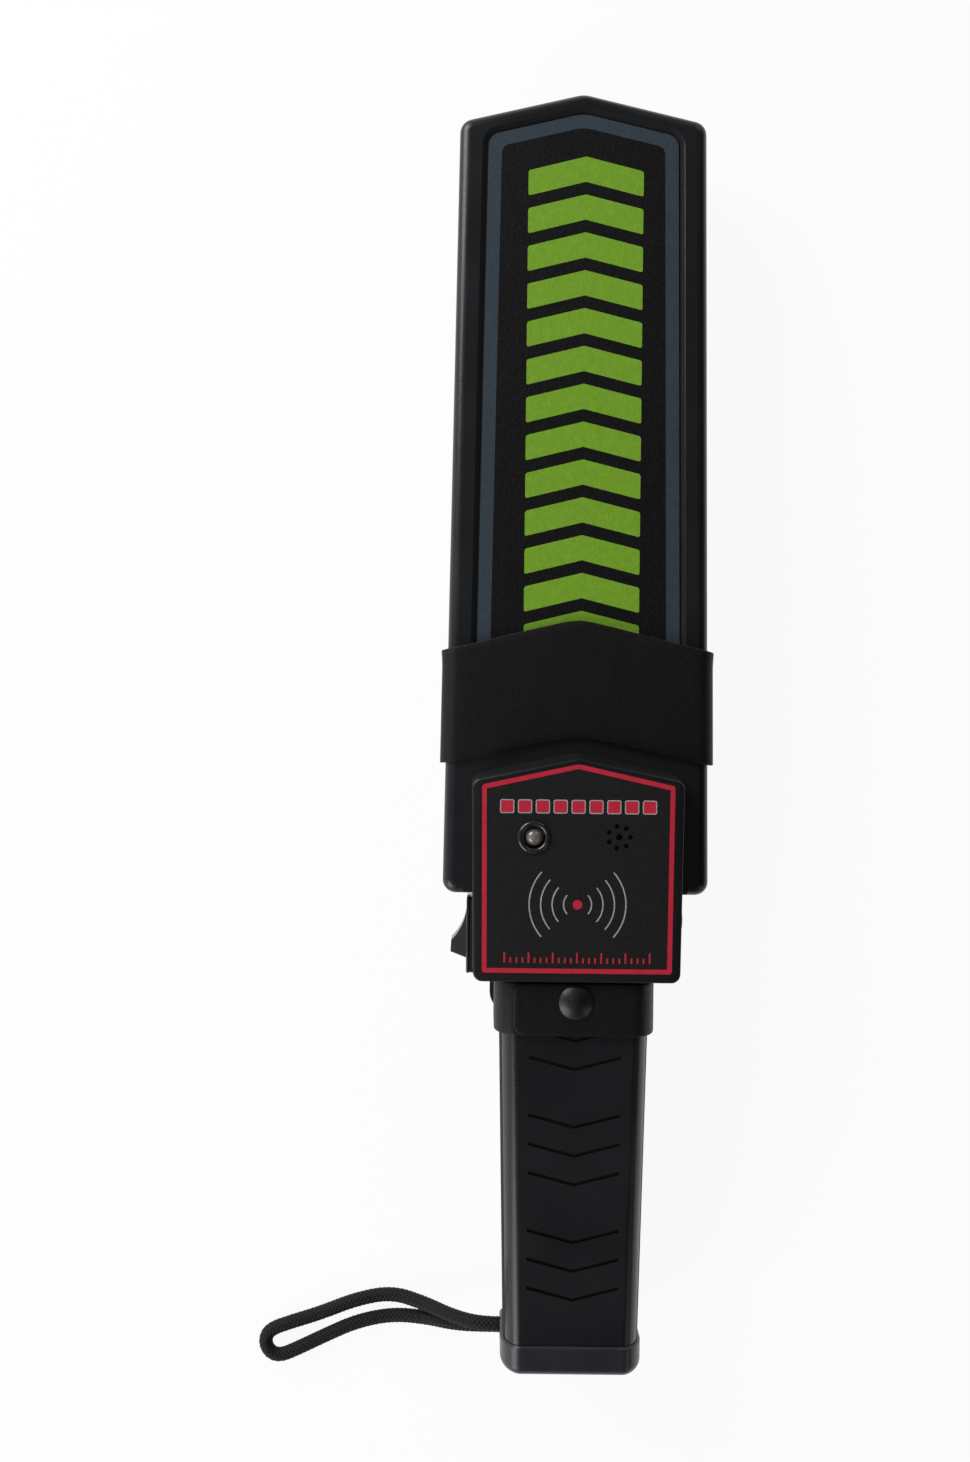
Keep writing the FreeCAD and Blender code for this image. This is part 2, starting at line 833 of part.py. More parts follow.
def control_board():
    half = board_wide / 2
    plate = block(-half, half, board_bottom_y, board_top_y, board_under, board_top)
    return plate.cut([rod(x, y, board_under - over, board_top + over, board_screw_radius + screw_hole_gap)
                      for x, y in board_posts()])


def board_parts():
    """Chips, a trimmer and capacitors: sizes and places as shares of the board."""
    chip_shares = [(-0.2, 0.55, 0.24, 0.16, 0.3), (0.16, 0.66, 0.18, 0.22, 0.3),
                   (-0.22, 0.84, 0.14, 0.14, 0.7)]
    can_shares = [(0.3, 0.5, 0.05, 0.85), (0.3, 0.84, 0.05, 0.85), (0.02, 0.88, 0.06, 0.6)]
    long = board_top_y - board_bottom_y
    solids = []
    for x_share, y_share, wide_share, long_share, high_share in chip_shares:
        x = x_share * board_wide
        y = board_top_y - y_share * long
        wide = wide_share * board_wide / 2
        deep = long_share * long / 2
        solids.append(block(x - wide, x + wide, y - deep, y + deep,
                            board_top, board_top + high_share * board_drop))
    for x_share, y_share, radius_share, high_share in can_shares:
        solids.append(rod(x_share * board_wide, board_top_y - y_share * long, board_top,
                          board_top + high_share * board_drop, radius_share * board_wide))
    return Part.makeCompound(solids)


def screw(x, y, head_low, head_thick, head_radius, shank_radius, long):
    """Screw with its head down and its shank up, a cross recess in the head."""
    head = rod(x, y, head_low, head_low + head_thick, head_radius)
    whole = head.fuse(rod(x, y, head_low, head_low + head_thick + long, shank_radius)).removeSplitter()
    arm = cross_arm_share * head_radius
    half = cross_half_share * head_radius
    high = head_low + cross_deep_share * head_thick
    return whole.cut([block(x - arm, x + arm, y - half, y + half, head_low - over, high),
                      block(x - half, x + half, y - arm, y + arm, head_low - over, high)])


def board_screws():
    low = board_under - board_screw_head_thick
    return Part.makeCompound([screw(x, y, low, board_screw_head_thick, board_screw_head,
                                    board_screw_radius, board_screw_long) for x, y in board_posts()])


def cover_screws():
    low = front_inside - cover_screw_head_thick
    return Part.makeCompound([screw(x, y, low, cover_screw_head_thick, cover_screw_head,
                                    cover_screw_radius, cover_screw_long) for x, y in cover_screw_places()])


def housing_screws():
    low = wand_back + screw_sink_deep - screw_head_thick
    return Part.makeCompound([screw(x, y, low, screw_head_thick, screw_head_radius,
                                    screw_radius, screw_long) for x, y in screw_places()])


def coil_ring(outer, inner, low, high):
    """Ring that follows the paddle's outline, between two insets."""
    shoulder = tip_y - paddle_shoulder_drop
    half = paddle_half(coil_bottom_y)
    points = [(-half, coil_bottom_y), (half, coil_bottom_y), (paddle_tip_half, shoulder),
              (0, tip_y), (-paddle_tip_half, shoulder)]
    rings = []
    for distance in (outer, inner):
        corner = coil_corner - (distance - outer) / 2
        moved = inset(points, [distance] * len(points))
        rings.append(prism(outline(moved, [corner] * len(points)), low, high))
    return rings[0].cut(rings[1])


def coil_former():
    low = back_inside + former_lift
    base = low + former_wall
    far = coil_inset + 2 * former_wall + coil_wide
    tray = coil_ring(coil_inset, far, low, base + coil_high)
    return tray.cut(coil_ring(coil_inset + former_wall, far - former_wall, base, base + coil_high + over))


def search_coil():
    base = back_inside + former_lift + former_wall
    outer = coil_inset + former_wall + wall_gap
    return coil_ring(outer, outer + coil_wide - 2 * wall_gap, base, base + coil_high - label_gap)


def route_wire(points, fixed_radius=None):
    """Straight runs joined by tangent arcs, each as large as its two runs allow."""
    corners = [at(*point) for point in points]
    edges = []
    radii = []
    last = corners[0]
    for i in range(1, len(corners) - 1):
        before = corners[i - 1] - corners[i]
        after = corners[i + 1] - corners[i]
        turn = math.pi - before.getAngle(after)
        radius = fixed_radius or run_share * min(before.Length, after.Length) / math.tan(turn / 2)
        start, middle, end = corner_arc(corners[i - 1], corners[i], corners[i + 1], radius)
        edges.append(Part.makeLine(last, start))
        edges.append(Part.Arc(start, middle, end).toShape())
        radii.append(radius)
        last = end
    edges.append(Part.makeLine(last, corners[-1]))
    return Part.Wire(edges), radii


def tube(points, diameter):
    """Round cord along a route, with its radii and its length."""
    path, radii = route_wire(points)
    start = at(*points[0])
    way = (at(*points[1]) - start).normalize()
    ring = Part.Wire([Part.makeCircle(diameter / 2, start, way)])
    return path.makePipeShell([ring], True, False), radii, path.Length


def report(name, shape, radii, length, diameter):
    """Print a cord's radii and compare its volume with its section times its length."""
    share = shape.Volume / (math.pi * diameter ** 2 / 4 * length)
    tight = " ".join("%.1f" % radius for radius in radii)
    print(name, "length %.1f, volume share %.4f, radii %s" % (length, share, tight))


def coil_lead():
    """Lead from the winding up to the board."""
    base = back_inside + former_lift + former_wall + coil_high - label_gap
    y = coil_bottom_y + coil_inset + former_wall + coil_wide / 2
    x = board_wide / 8
    high = (base + board_under) / 2
    points = [(x, y, base), (x, y, high - 2 * lead_diameter), (x - lead_diameter, y / 2, high),
              (x - lead_diameter, cover_top_y, high - lead_diameter), (x, board_top_y, high),
              (x + lead_diameter, board_top_y - 3 * lead_diameter, (high + board_under) / 2),
              (x + lead_diameter, board_top_y - 3 * lead_diameter, board_under)]
    shape, radii, length = tube(points, lead_diameter)
    report("coil_lead", shape, radii, length, lead_diameter)
    return shape


def switch_frame():
    """Snap-in frame of the rocker: flange outside, tub inside, two pivot holes."""
    tub_y = rocker_radius + rocker_gap + frame_wall
    tub_z = rocker_wide / 2 + rocker_gap + frame_side
    tub = block(-neck_half, -neck_half + frame_depth, rocker_y - tub_y, rocker_y + tub_y,
                rocker_z - tub_z, rocker_z + tub_z)
    rim_y = tub_y + frame_rim_y
    rim_z = tub_z + frame_rim_z
    flange = block(-neck_half - frame_flange, -neck_half, rocker_y - rim_y, rocker_y + rim_y,
                   rocker_z - rim_z, rocker_z + rim_z)
    side_edges = [e for e in flange.Edges if e.BoundBox.XLength > frame_flange / 2]
    flange = flange.makeFillet(flange_corner, side_edges)
    room_y = rocker_radius + rocker_gap
    room_z = rocker_wide / 2 + rocker_gap
    room = block(-neck_half - frame_flange - over, -neck_half + frame_depth - frame_floor,
                 rocker_y - room_y, rocker_y + room_y, rocker_z - room_z, rocker_z + room_z)
    pivot = rod(rocker_pivot_x(), rocker_y, rocker_z - tub_z - over, rocker_z + tub_z + over,
                rocker_pin_radius + rocker_pin_gap)
    return tub.fuse(flange).removeSplitter().cut([room, pivot])


def rocker_pivot_x():
    return -neck_half + rocker_pivot_in


def power_rocker():
    """Rocker with a dished face and ends round about the pivot, pressed in at the tip end."""
    x = rocker_pivot_x()

    def spot(angle_deg, radius=rocker_radius):
        turn = math.radians(angle_deg)
        return at(x - radius * math.sin(turn), rocker_y + radius * math.cos(turn), 0)

    low_deg = -math.degrees(math.asin(rocker_floor / rocker_radius))
    mid_deg = (low_deg + rocker_tip_deg) / 2
    half_turn_deg = full_turn_deg / 2
    tip_x = spot(rocker_tip_deg).x
    dish = at(tip_x + rocker_dish, rocker_y, 0)
    edges = [
        Part.Arc(spot(low_deg), spot(mid_deg), spot(rocker_tip_deg)).toShape(),
        Part.Arc(spot(rocker_tip_deg), dish, spot(half_turn_deg - rocker_tip_deg)).toShape(),
        Part.Arc(spot(half_turn_deg - rocker_tip_deg), spot(half_turn_deg - mid_deg),
                 spot(half_turn_deg - low_deg)).toShape(),
        Part.makeLine(spot(half_turn_deg - low_deg), spot(low_deg)),
    ]
    body = prism(Part.Wire(edges), rocker_z - rocker_wide / 2, rocker_z + rocker_wide / 2)
    reach = rocker_wide / 2 + rocker_pin_reach
    pin = rod(x, rocker_y, rocker_z - reach, rocker_z + reach, rocker_pin_radius)
    body = body.fuse(pin).removeSplitter()
    body.rotate(at(x, rocker_y, 0), at(0, 0, 1), -rocker_tilt_deg)
    return body


def button_bezel():
    sleeve = bar_x(neck_half - button_wall_in, neck_half, button_y, rocker_z, bezel_sleeve_radius)
    flange = bar_x(neck_half, neck_half + bezel_flange, button_y, rocker_z, bezel_radius)
    flange = flange.makeFillet(bezel_flange / 2, [flange.Edges[0]])
    bore = bar_x(neck_half - button_wall_in - over, neck_half + bezel_flange + over, button_y,
                 rocker_z, button_radius + button_gap)
    return sleeve.fuse(flange).cut(bore)


def push_button():
    """Round button with a collar behind its sleeve and a stem to the inner switch."""
    face = neck_half + button_proud
    collar = neck_half - button_wall_in - button_gap
    crown = bar_x(collar - button_collar_thick, face, button_y, rocker_z, button_radius)
    crown = crown.makeFillet(button_radius / 8, [e for e in crown.Edges if e.BoundBox.XMin > face - touch])
    ring = bar_x(collar - button_collar_thick, collar, button_y, rocker_z, button_collar)
    stem = bar_x(collar - button_collar_thick - button_stem_long, collar, button_y, rocker_z,
                 button_stem_radius)
    return crown.fuse([ring, stem]).removeSplitter()


def button_switch():
    """Small push switch on its pedestal behind the button."""
    face = tact_face_x()
    half = tact_side / 2
    case = block(face - tact_deep, face, button_y - half, button_y + half, rocker_z - half, rocker_z + half)
    plunger = bar_x(face, face + tact_plunger, button_y, rocker_z, button_stem_radius)
    return case.fuse(plunger)


def headphone_jack():
    inner = neck_half - wall
    half = jack_body_wide / 2
    case = block(inner - jack_body_long, inner, jack_y - half, jack_y + half,
                 rocker_z - half, rocker_z + half)
    bush = bar_x(inner, neck_half + jack_bush_proud, jack_y, rocker_z, jack_bush_radius)
    bore = bar_x(inner - jack_body_long + jack_bore_stop, neck_half + jack_bush_proud + over, jack_y,
                 rocker_z, jack_bore_radius)
    return case.fuse(bush).cut(bore)


def jack_nut():
    ring = bar_x(neck_half, neck_half + jack_nut_thick, jack_y, rocker_z, jack_nut_radius)
    return ring.cut(bar_x(neck_half - over, neck_half + jack_nut_thick + over, jack_y, rocker_z,
                          jack_bush_radius + wall_gap))


def vibration_motor():
    x0 = motor_x - motor_long / 2
    can = bar_x(x0, x0 + motor_long, motor_y, motor_z, motor_radius)
    shaft = bar_x(x0 + motor_long, x0 + motor_long + motor_shaft_long, motor_y, motor_z, motor_shaft_radius)
    return can.fuse(shaft)


def motor_weight():
    """Off-centre weight on the motor's shaft, hanging down."""
    x0 = motor_x + motor_long / 2 + weight_gap
    disc = bar_x(x0, x0 + weight_long, motor_y, motor_z, weight_radius)
    disc = disc.cut(block(x0 - over, x0 + weight_long + over, motor_y - 2 * weight_radius,
                          motor_y + 2 * weight_radius, motor_z, motor_z + 2 * weight_radius))
    hub = bar_x(x0, x0 + weight_long, motor_y, motor_z, weight_hub_radius)
    bore = bar_x(x0 - over, x0 + weight_long + over, motor_y, motor_z, motor_shaft_radius + motor_shaft_gap)
    return disc.fuse(hub).removeSplitter().cut(bore)


def battery():
    half = battery_wide / 2
    case = block(-half, half, battery_end_y, battery_end_y + battery_long,
                 handle_mid - battery_thick / 2, handle_mid + battery_thick / 2)
    long_edges = [e for e in case.Edges if e.BoundBox.YLength > battery_long / 2]
    case = case.makeFillet(battery_corner, long_edges)
    top = battery_end_y + battery_long
    return case.fuse(terminals(top, top + terminal_height, terminal_radius))


def terminals(y0, y1, radius):
    """Two round bars along Y, one at each battery terminal."""
    return [Part.makeCylinder(radius, y1 - y0, at(side * terminal_gap / 2, y0, handle_mid), at(0, 1, 0))
            for side in (-1, 1)]


def battery_connector():
    """Snap plate over both terminals."""
    top = battery_end_y + battery_long
    half = battery_wide / 2 - battery_corner
    deep = battery_thick / 2 - battery_corner
    plate = block(-half, half, top, top + clip_thick, handle_mid - deep, handle_mid + deep)
    return plate.cut(terminals(top - over, top + terminal_height, terminal_radius + wall_gap))


def battery_lead():
    """Lead from the connector along the handle to the board."""
    top = battery_end_y + battery_long + clip_thick
    step = (neck_bottom_y - top) / 4
    x = lead_diameter
    low = handle_mid
    end_y = board_bottom_y + 2 * lead_diameter
    points = [(x, top, low), (x, top + step, low), (-x, top + 2 * step, low + lead_diameter),
              (x, top + 3 * step, low - lead_diameter), (x, neck_bottom_y, low + lead_diameter),
              (-x, end_y, (low + board_under) / 2), (-x, end_y, board_under)]
    shape, radii, length = tube(points, lead_diameter)
    report("battery_lead", shape, radii, length, lead_diameter)
    return shape


def cap_section(thin, y):
    grow = cap_step - thin
    return section(handle_end_half + grow, wand_back - grow, handle_front + grow,
                   (handle_corner_x + grow, handle_corner_front + grow),
                   (handle_corner_x + grow, handle_corner_back + grow), y)


def skirt_section(thin, y):
    thin = thin + wall + skirt_clearance
    return section(handle_end_half - thin, wand_back + thin, handle_front - thin,
                   (handle_corner_x - thin, handle_corner_front - thin),
                   (handle_corner_x - thin, handle_corner_back - thin), y)


def end_cap():
    """Battery cap: rounded rim outside, skirt inside the handle, pillar behind the battery."""
    rim_y = handle_end_y - cap_gap
    shell = Part.Face(cap_section(0, rim_y)).extrude(at(0, cap_end_y - rim_y, 0))
    end_edges = [e for e in shell.Edges if e.BoundBox.YMax < cap_end_y + touch]
    shell = shell.makeFillet(cap_corner, end_edges)
    rim_edges = [e for e in shell.Edges if e.BoundBox.YMin > rim_y - touch]
    shell = shell.makeChamfer(cap_rim_bevel, rim_edges)
    skirt = Part.Face(skirt_section(0, rim_y - cap_wall)).extrude(at(0, skirt_depth + cap_wall, 0))
    shell = shell.fuse(skirt)
    floor_y = cap_end_y + cap_wall
    mouth_y = rim_y + skirt_depth + over
    room = Part.Face(skirt_section(skirt_wall, floor_y)).extrude(at(0, mouth_y - floor_y, 0))
    shell = shell.cut(room)
    pillar_y = battery_end_y - pad_thick
    half = pillar_wide / 2
    deep = pillar_thick / 2
    pillar = block(pillar_x - half, pillar_x + half, floor_y - cap_wall / 2, pillar_y,
                   handle_mid - deep, handle_mid + deep)
    hollow = block(pillar_x - half + pillar_wall, pillar_x + half - pillar_wall, floor_y, pillar_y + over,
                   handle_mid - deep + pillar_wall, handle_mid + deep - pillar_wall)
    shell = shell.fuse(pillar.cut(hollow))
    edge_x = -handle_end_half - cap_step
    holes = [bar_x(edge_x - over, knot_x, y, z, cord_diameter / 2 + cord_hole_gap)
             for y, z in ((cord_upper_y, cord_upper_z), (cord_lower_y, cord_lower_z))]
    return shell.cut(holes)


def battery_pad():
    half = pillar_wide / 2
    deep = pillar_thick / 2
    return block(pillar_x - half, pillar_x + half, battery_end_y - pad_thick, battery_end_y - bay_gap,
                 handle_mid - deep, handle_mid + deep)


def lanyard_knot():
    """Both ends of the cord pass the cap's wall and are knotted behind it."""
    edge_x = -handle_end_half - cap_step
    ball = Part.makeSphere(knot_radius, at(knot_x, (cord_upper_y + cord_lower_y) / 2,
                                           (cord_upper_z + cord_lower_z) / 2))
    ends = [bar_x(edge_x, knot_x, y, z, cord_diameter / 2)
            for y, z in ((cord_upper_y, cord_upper_z), (cord_lower_y, cord_lower_z))]
    return ball.fuse(ends)


def lanyard_cord():
    edge_x = -handle_end_half - cap_step
    shift = cord_upper_y - cord_route[0][1]
    middle = [(x, y + shift, z) for x, y, z in cord_route]
    points = [(edge_x, cord_upper_y, cord_upper_z)] + middle + [(edge_x, cord_lower_y, cord_lower_z)]
    shape, radii, length = tube(points, cord_diameter)
    report("lanyard_cord", shape, radii, length, cord_diameter)
    return shape


def band_tube(grow, low):
    """Tube round the paddle, a little longer than the band."""
    rings = []
    for y in (band_side_bottom_y - over, band_point_y + over):
        rings.append(section(paddle_half(y) + band_gap + grow, low, paddle_front + band_gap + grow,
                             (band_corner + grow, band_corner + grow),
                             (band_back_corner + grow, band_back_corner + grow), y))
    return Part.makeLoft(rings, True, True)


def band_outline(side):
    points = [(-side, band_side_bottom_y), (0, band_notch_y), (side, band_side_bottom_y),
              (side, band_side_top_y), (0, band_point_y), (-side, band_side_top_y)]
    return outline(points, [0, band_point_radius, 0, 0, band_point_radius, 0])


def rivet_places():
    """Rivets of the belt loop's two feet and of the band's two flaps."""
    loop_y = (loop_top_y + loop_rise + loop_foot / 2, loop_bottom_y - loop_rise - loop_foot / 2)
    band_y = (rivet_band_top_y, rivet_band_low_y)
    places = [(side * rivet_side_x, y) for side in (-1, 1) for y in loop_y]
    return places + [(side * rivet_band_x, y) for side in (-1, 1) for y in band_y]


def rivet_holes():
    seat = wand_back - 2 * leather
    holes = [rod(x, y, seat - over, wand_back + over, rivet_radius + wall_gap) for x, y in rivet_places()]
    return holes + [rod(x, y, wand_back - rivet_cap_thick, wand_back + over, rivet_cap_radius + wall_gap)
                    for x, y in rivet_places()]


def holster_rivets():
    """Domed outside, flat inside where the wand lies on them."""
    seat = wand_back - 2 * leather
    solids = []
    for x, y in rivet_places():
        shank = rod(x, y, seat - rivet_head_thick / 2, wand_back, rivet_radius)
        inner = rod(x, y, wand_back - rivet_cap_thick, wand_back, rivet_cap_radius)
        head = rod(x, y, seat - rivet_head_thick, seat, rivet_head_radius)
        head = head.makeFillet(rivet_head_thick / 2, edges_at(head, seat - rivet_head_thick))
        solids.append(head.fuse([shank, inner]).removeSplitter())
    return Part.makeCompound(solids)


def holster_band():
    """Leather band round the paddle, pointed at the top, its flaps riveted behind."""
    shape = band_tube(leather, wand_back - 2 * leather).cut(band_tube(0, wand_back - leather))
    side = paddle_bottom_half + band_gap + leather + over
    shape = shape.common(prism(band_outline(side), wand_back - 2 * leather - over, cover_front))
    gap = paddle_half(band_point_y) - band_flap
    shape = shape.cut(block(-gap, gap, band_side_bottom_y - over, band_point_y + over,
                            wand_back - 2 * leather - over, wand_back - leather + over))
    return shape.cut(rivet_holes())


def holster_back():
    """Back panel: as wide as the paddle under the band, then a tongue behind the neck."""
    points = [
        (-tongue_half, tongue_bottom_y), (tongue_half, tongue_bottom_y), (tongue_half, back_neck_low_y),
        (back_top_half, back_neck_top_y), (back_top_half, band_side_top_y), (0, band_point_y),
        (-back_top_half, band_side_top_y), (-back_top_half, back_neck_top_y),
        (-tongue_half, back_neck_low_y),
    ]
    wide = band_point_radius
    radii = [tongue_corner, tongue_corner, wide, wide, back_corner, wide, back_corner, wide, wide]
    panel = prism(outline(points, radii), wand_back - leather, wand_back)
    return panel.cut(rivet_holes())


def belt_loop():
    """Flat leather loop that a belt goes through; its outer face is what the set lies on."""
    foot_z = wand_back - 1.5 * leather
    run_z = leather / 2
    points = [
        (0, loop_top_y + loop_rise + loop_foot, foot_z), (0, loop_top_y + loop_rise, foot_z),
        (0, loop_top_y, run_z), (0, loop_bottom_y, run_z),
        (0, loop_bottom_y - loop_rise, foot_z), (0, loop_bottom_y - loop_rise - loop_foot, foot_z),
    ]
    path, radii = route_wire(points, loop_bend)
    y, z = points[0][1], foot_z
    corners = [at(-loop_half, y, z - leather / 2), at(loop_half, y, z - leather / 2),
               at(loop_half, y, z + leather / 2), at(-loop_half, y, z + leather / 2)]
    profile = Part.makePolygon(corners + [corners[0]])
    return path.makePipeShell([profile], True, False).cut(rivet_holes())


def strap_ring(lift):
    """Ring of strap leather round the handle, at one of its two levels."""
    half = handle_half(strap_top_y)
    rings = []
    for grow in (strap_gap, strap_gap + strap_leather):
        wire = section(half + grow, -handle_thick, handle_front + grow + lift,
                       (handle_corner_x + grow, handle_corner_front + grow + lift),
                       (handle_corner_x, handle_corner_back), strap_top_y)
        rings.append(Part.Face(wire).extrude(at(0, strap_bottom_y - strap_top_y, 0)))
    reach = half + 2 * strap_leather
    below = block(-reach, reach, strap_bottom_y - over, strap_top_y + over, -2 * handle_thick, tongue_top)
    return rings[1].cut(rings[0]).cut(below)


def strap_feet(side):
    """Turned-in foot by which a strap is sewn to the tongue."""
    outer = handle_half(strap_top_y) + strap_gap + strap_leather
    x0, x1 = sorted((side * outer, side * (outer - strap_foot)))
    return block(x0, x1, strap_bottom_y, strap_top_y, tongue_top, tongue_top + strap_leather)


def strap_side(side):
    """Half space that keeps one side of a strap ring, up to its end at the front."""
    reach = handle_top_half + 2 * strap_leather
    if side < 0:
        return block(-reach, strap_under_end_x, strap_bottom_y, strap_top_y, 0, cover_front)
    return block(strap_hinge_x(), reach, strap_bottom_y, strap_top_y, 0, cover_front)


def strap_hinge_x():
    """Where the leather bends when the snap is opened."""
    return handle_half(strap_top_y) - handle_corner_x


def neck_strap_left():
    """Under half of the neck strap, which carries the snap's stud."""
    shape = strap_ring(0).common(strap_side(-1)).fuse(strap_feet(-1)).removeSplitter()
    low = handle_front + strap_gap
    shank = rod(snap_x, snap_y, low - over, low + strap_leather + over, snap_shank_radius + snap_hole_gap)
    base = rod(snap_x, snap_y, low - over, low + snap_base_thick, snap_base_radius + snap_hole_gap)
    return shape.cut([shank, base])


def neck_strap_right():
    lift = strap_leather + strap_gap
    return strap_ring(lift).common(strap_side(1)).fuse(strap_feet(1)).removeSplitter()


def neck_strap_flap():
    """Free end of the strap, which bends up at its hinge line when the snap is opened."""
    x0 = strap_end_x
    x1 = strap_hinge_x() - strap_gap
    corner = strap_leather
    wire = outline([(x0, strap_bottom_y), (x1, strap_bottom_y), (x1, strap_top_y), (x0, strap_top_y)],
                   [corner, 0, 0, corner])
    shape = prism(wire, strap_over_z, strap_top_z)
    return shape.cut(rod(snap_x, snap_y, strap_over_z - over, strap_top_z + over,
                         snap_socket_radius + snap_hole_gap))


def snap_cap():
    """Domed cap, flat below, with an upright rim."""
    rim = strap_top_z + snap_edge
    top = strap_top_z + snap_cap_height
    rise = top - rim
    dome_radius = (snap_cap_radius ** 2 + rise ** 2) / (2 * rise)
    half_turn = math.asin(snap_cap_radius / dome_radius) / 2
    middle = at(dome_radius * math.sin(half_turn), 0, top - dome_radius * (1 - math.cos(half_turn)))
    corners = [at(0, 0, strap_top_z), at(snap_cap_radius, 0, strap_top_z),
               at(snap_cap_radius, 0, rim), at(0, 0, top)]
    edges = [
        Part.makeLine(corners[0], corners[1]),
        Part.makeLine(corners[1], corners[2]),
        Part.Arc(corners[2], middle, corners[3]).toShape(),
        Part.makeLine(corners[3], corners[0]),
    ]
    dome = Part.Face(Part.Wire(edges)).revolve(at(0, 0, 0), at(0, 0, 1), full_turn_deg)
    dome.translate(at(snap_x, snap_y, 0))
    return dome


def snap_socket():
    ring = rod(snap_x, snap_y, strap_over_z, strap_top_z, snap_socket_radius)
    return ring.cut(rod(snap_x, snap_y, strap_over_z - over, strap_top_z + over, snap_bore_radius))


def snap_stud():
    low = handle_front + strap_gap
    top = low + strap_leather
    base = rod(snap_x, snap_y, low, low + snap_base_thick, snap_base_radius)
    shank = rod(snap_x, snap_y, low, top, snap_shank_radius)
    neck = rod(snap_x, snap_y, top, top + snap_ball_high, snap_neck_radius)
    ball = rod(snap_x, snap_y, top + snap_ball_high / 3, top + snap_ball_high, snap_ball_radius)
    ball = ball.makeFillet(snap_ball_high / 5, [ball.Edges[0], ball.Edges[2]])
    return base.fuse([shank, neck, ball]).removeSplitter()


def main():
    os.makedirs("parts", exist_ok=True)
    outside = wand_outside()
    inside = wand_inside()
    save("front_housing", front_housing(outside, inside))
    save("rear_housing", rear_housing(outside, inside))
    for piece in (
        control_cover, panel_label, paddle_label, led_bezel, led_lens, buzzer, control_board, board_parts,
        board_screws, cover_screws, housing_screws, coil_former, search_coil, coil_lead, switch_frame,
        power_rocker, button_bezel, push_button, button_switch, headphone_jack, jack_nut,
        vibration_motor, motor_weight, battery, battery_connector, battery_lead, end_cap, battery_pad,
        lanyard_knot, lanyard_cord, holster_band, holster_back, belt_loop, holster_rivets,
        neck_strap_left, neck_strap_right, neck_strap_flap, snap_cap, snap_socket, snap_stud,
    ):
        save(piece.__name__, piece())


main()
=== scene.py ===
"""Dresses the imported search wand: leather, prints, braid, finishes, lights and the camera.

Sizes are written in millimetres and turned into metres where a mesh is made.
"""
import logging
import math
from dataclasses import dataclass
from enum import Enum
from typing import Callable, Dict, List, Optional, Sequence, Tuple, Union

import bmesh
import bpy
from mathutils import Matrix, Vector


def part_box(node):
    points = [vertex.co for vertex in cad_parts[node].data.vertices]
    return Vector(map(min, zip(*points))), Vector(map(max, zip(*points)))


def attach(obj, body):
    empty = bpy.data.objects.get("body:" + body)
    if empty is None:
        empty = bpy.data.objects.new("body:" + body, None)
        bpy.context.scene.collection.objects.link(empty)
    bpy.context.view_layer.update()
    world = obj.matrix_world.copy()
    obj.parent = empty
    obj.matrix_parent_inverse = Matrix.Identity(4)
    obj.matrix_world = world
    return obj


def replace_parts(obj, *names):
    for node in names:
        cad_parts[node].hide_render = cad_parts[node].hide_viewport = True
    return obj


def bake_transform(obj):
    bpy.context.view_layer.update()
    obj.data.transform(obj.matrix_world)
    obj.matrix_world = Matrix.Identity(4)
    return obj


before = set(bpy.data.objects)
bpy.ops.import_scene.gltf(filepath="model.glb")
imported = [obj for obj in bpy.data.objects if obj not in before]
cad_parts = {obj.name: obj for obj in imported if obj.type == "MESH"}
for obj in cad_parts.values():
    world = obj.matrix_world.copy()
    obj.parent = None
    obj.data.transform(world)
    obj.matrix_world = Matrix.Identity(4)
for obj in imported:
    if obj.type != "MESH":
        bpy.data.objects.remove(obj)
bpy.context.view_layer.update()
log = logging.getLogger("wand")

MM = 0.001
Colour = Tuple[float, float, float]
Spot = Tuple[float, float]
Number = Union[float, int]
Ring = Tuple[Sequence[Spot], float, Sequence[float]]
Frame = Tuple[Vector, Vector, Vector]
FRONT = Vector((0.0, 0.0, 1.0))
SAME = 1e-6


def metres(x: float, y: float, z: float) -> Vector:
    """A place given in millimetres, in metres."""
    return Vector((x * MM, y * MM, z * MM))


# Shader maths


class Signal:
    """A shader socket that takes part in Python expressions."""

    def __init__(self, recipe: "Recipe", socket: bpy.types.NodeSocket) -> None:
        """Keeps the socket and the recipe it belongs to."""
        self.recipe = recipe
        self.socket = socket

    def maths(self, operation: str, *others: Union["Signal", Number]) -> "Signal":
        """Adds one Math node.

        Args:
            operation: the node's operation.
            others: its second and third values.

        Returns:
            The node's result.
        """
        values = [self, *others]
        node = self.recipe.node("ShaderNodeMath", {"operation": operation},
                                {i: value for i, value in enumerate(values)})
        return Signal(self.recipe, node.outputs[0])

    def __add__(self, other: Union["Signal", Number]) -> "Signal":
        """Sum."""
        return self.maths("ADD", other)

    __radd__ = __add__

    def __mul__(self, other: Union["Signal", Number]) -> "Signal":
        """Product."""
        return self.maths("MULTIPLY", other)

    __rmul__ = __mul__

    def __sub__(self, other: Union["Signal", Number]) -> "Signal":
        """Difference."""
        return self.maths("SUBTRACT", other)

    def __rsub__(self, other: Number) -> "Signal":
        """A number less this value."""
        return (self * -1.0) + other

    def __abs__(self) -> "Signal":
        """Size without sign."""
        return self.maths("ABSOLUTE")

    def __pow__(self, other: Number) -> "Signal":
        """Power."""
        return self.maths("POWER", other)

    def below(self, limit: Number) -> "Signal":
        """One where the value is under the limit, else nought."""
        return self.maths("LESS_THAN", limit)


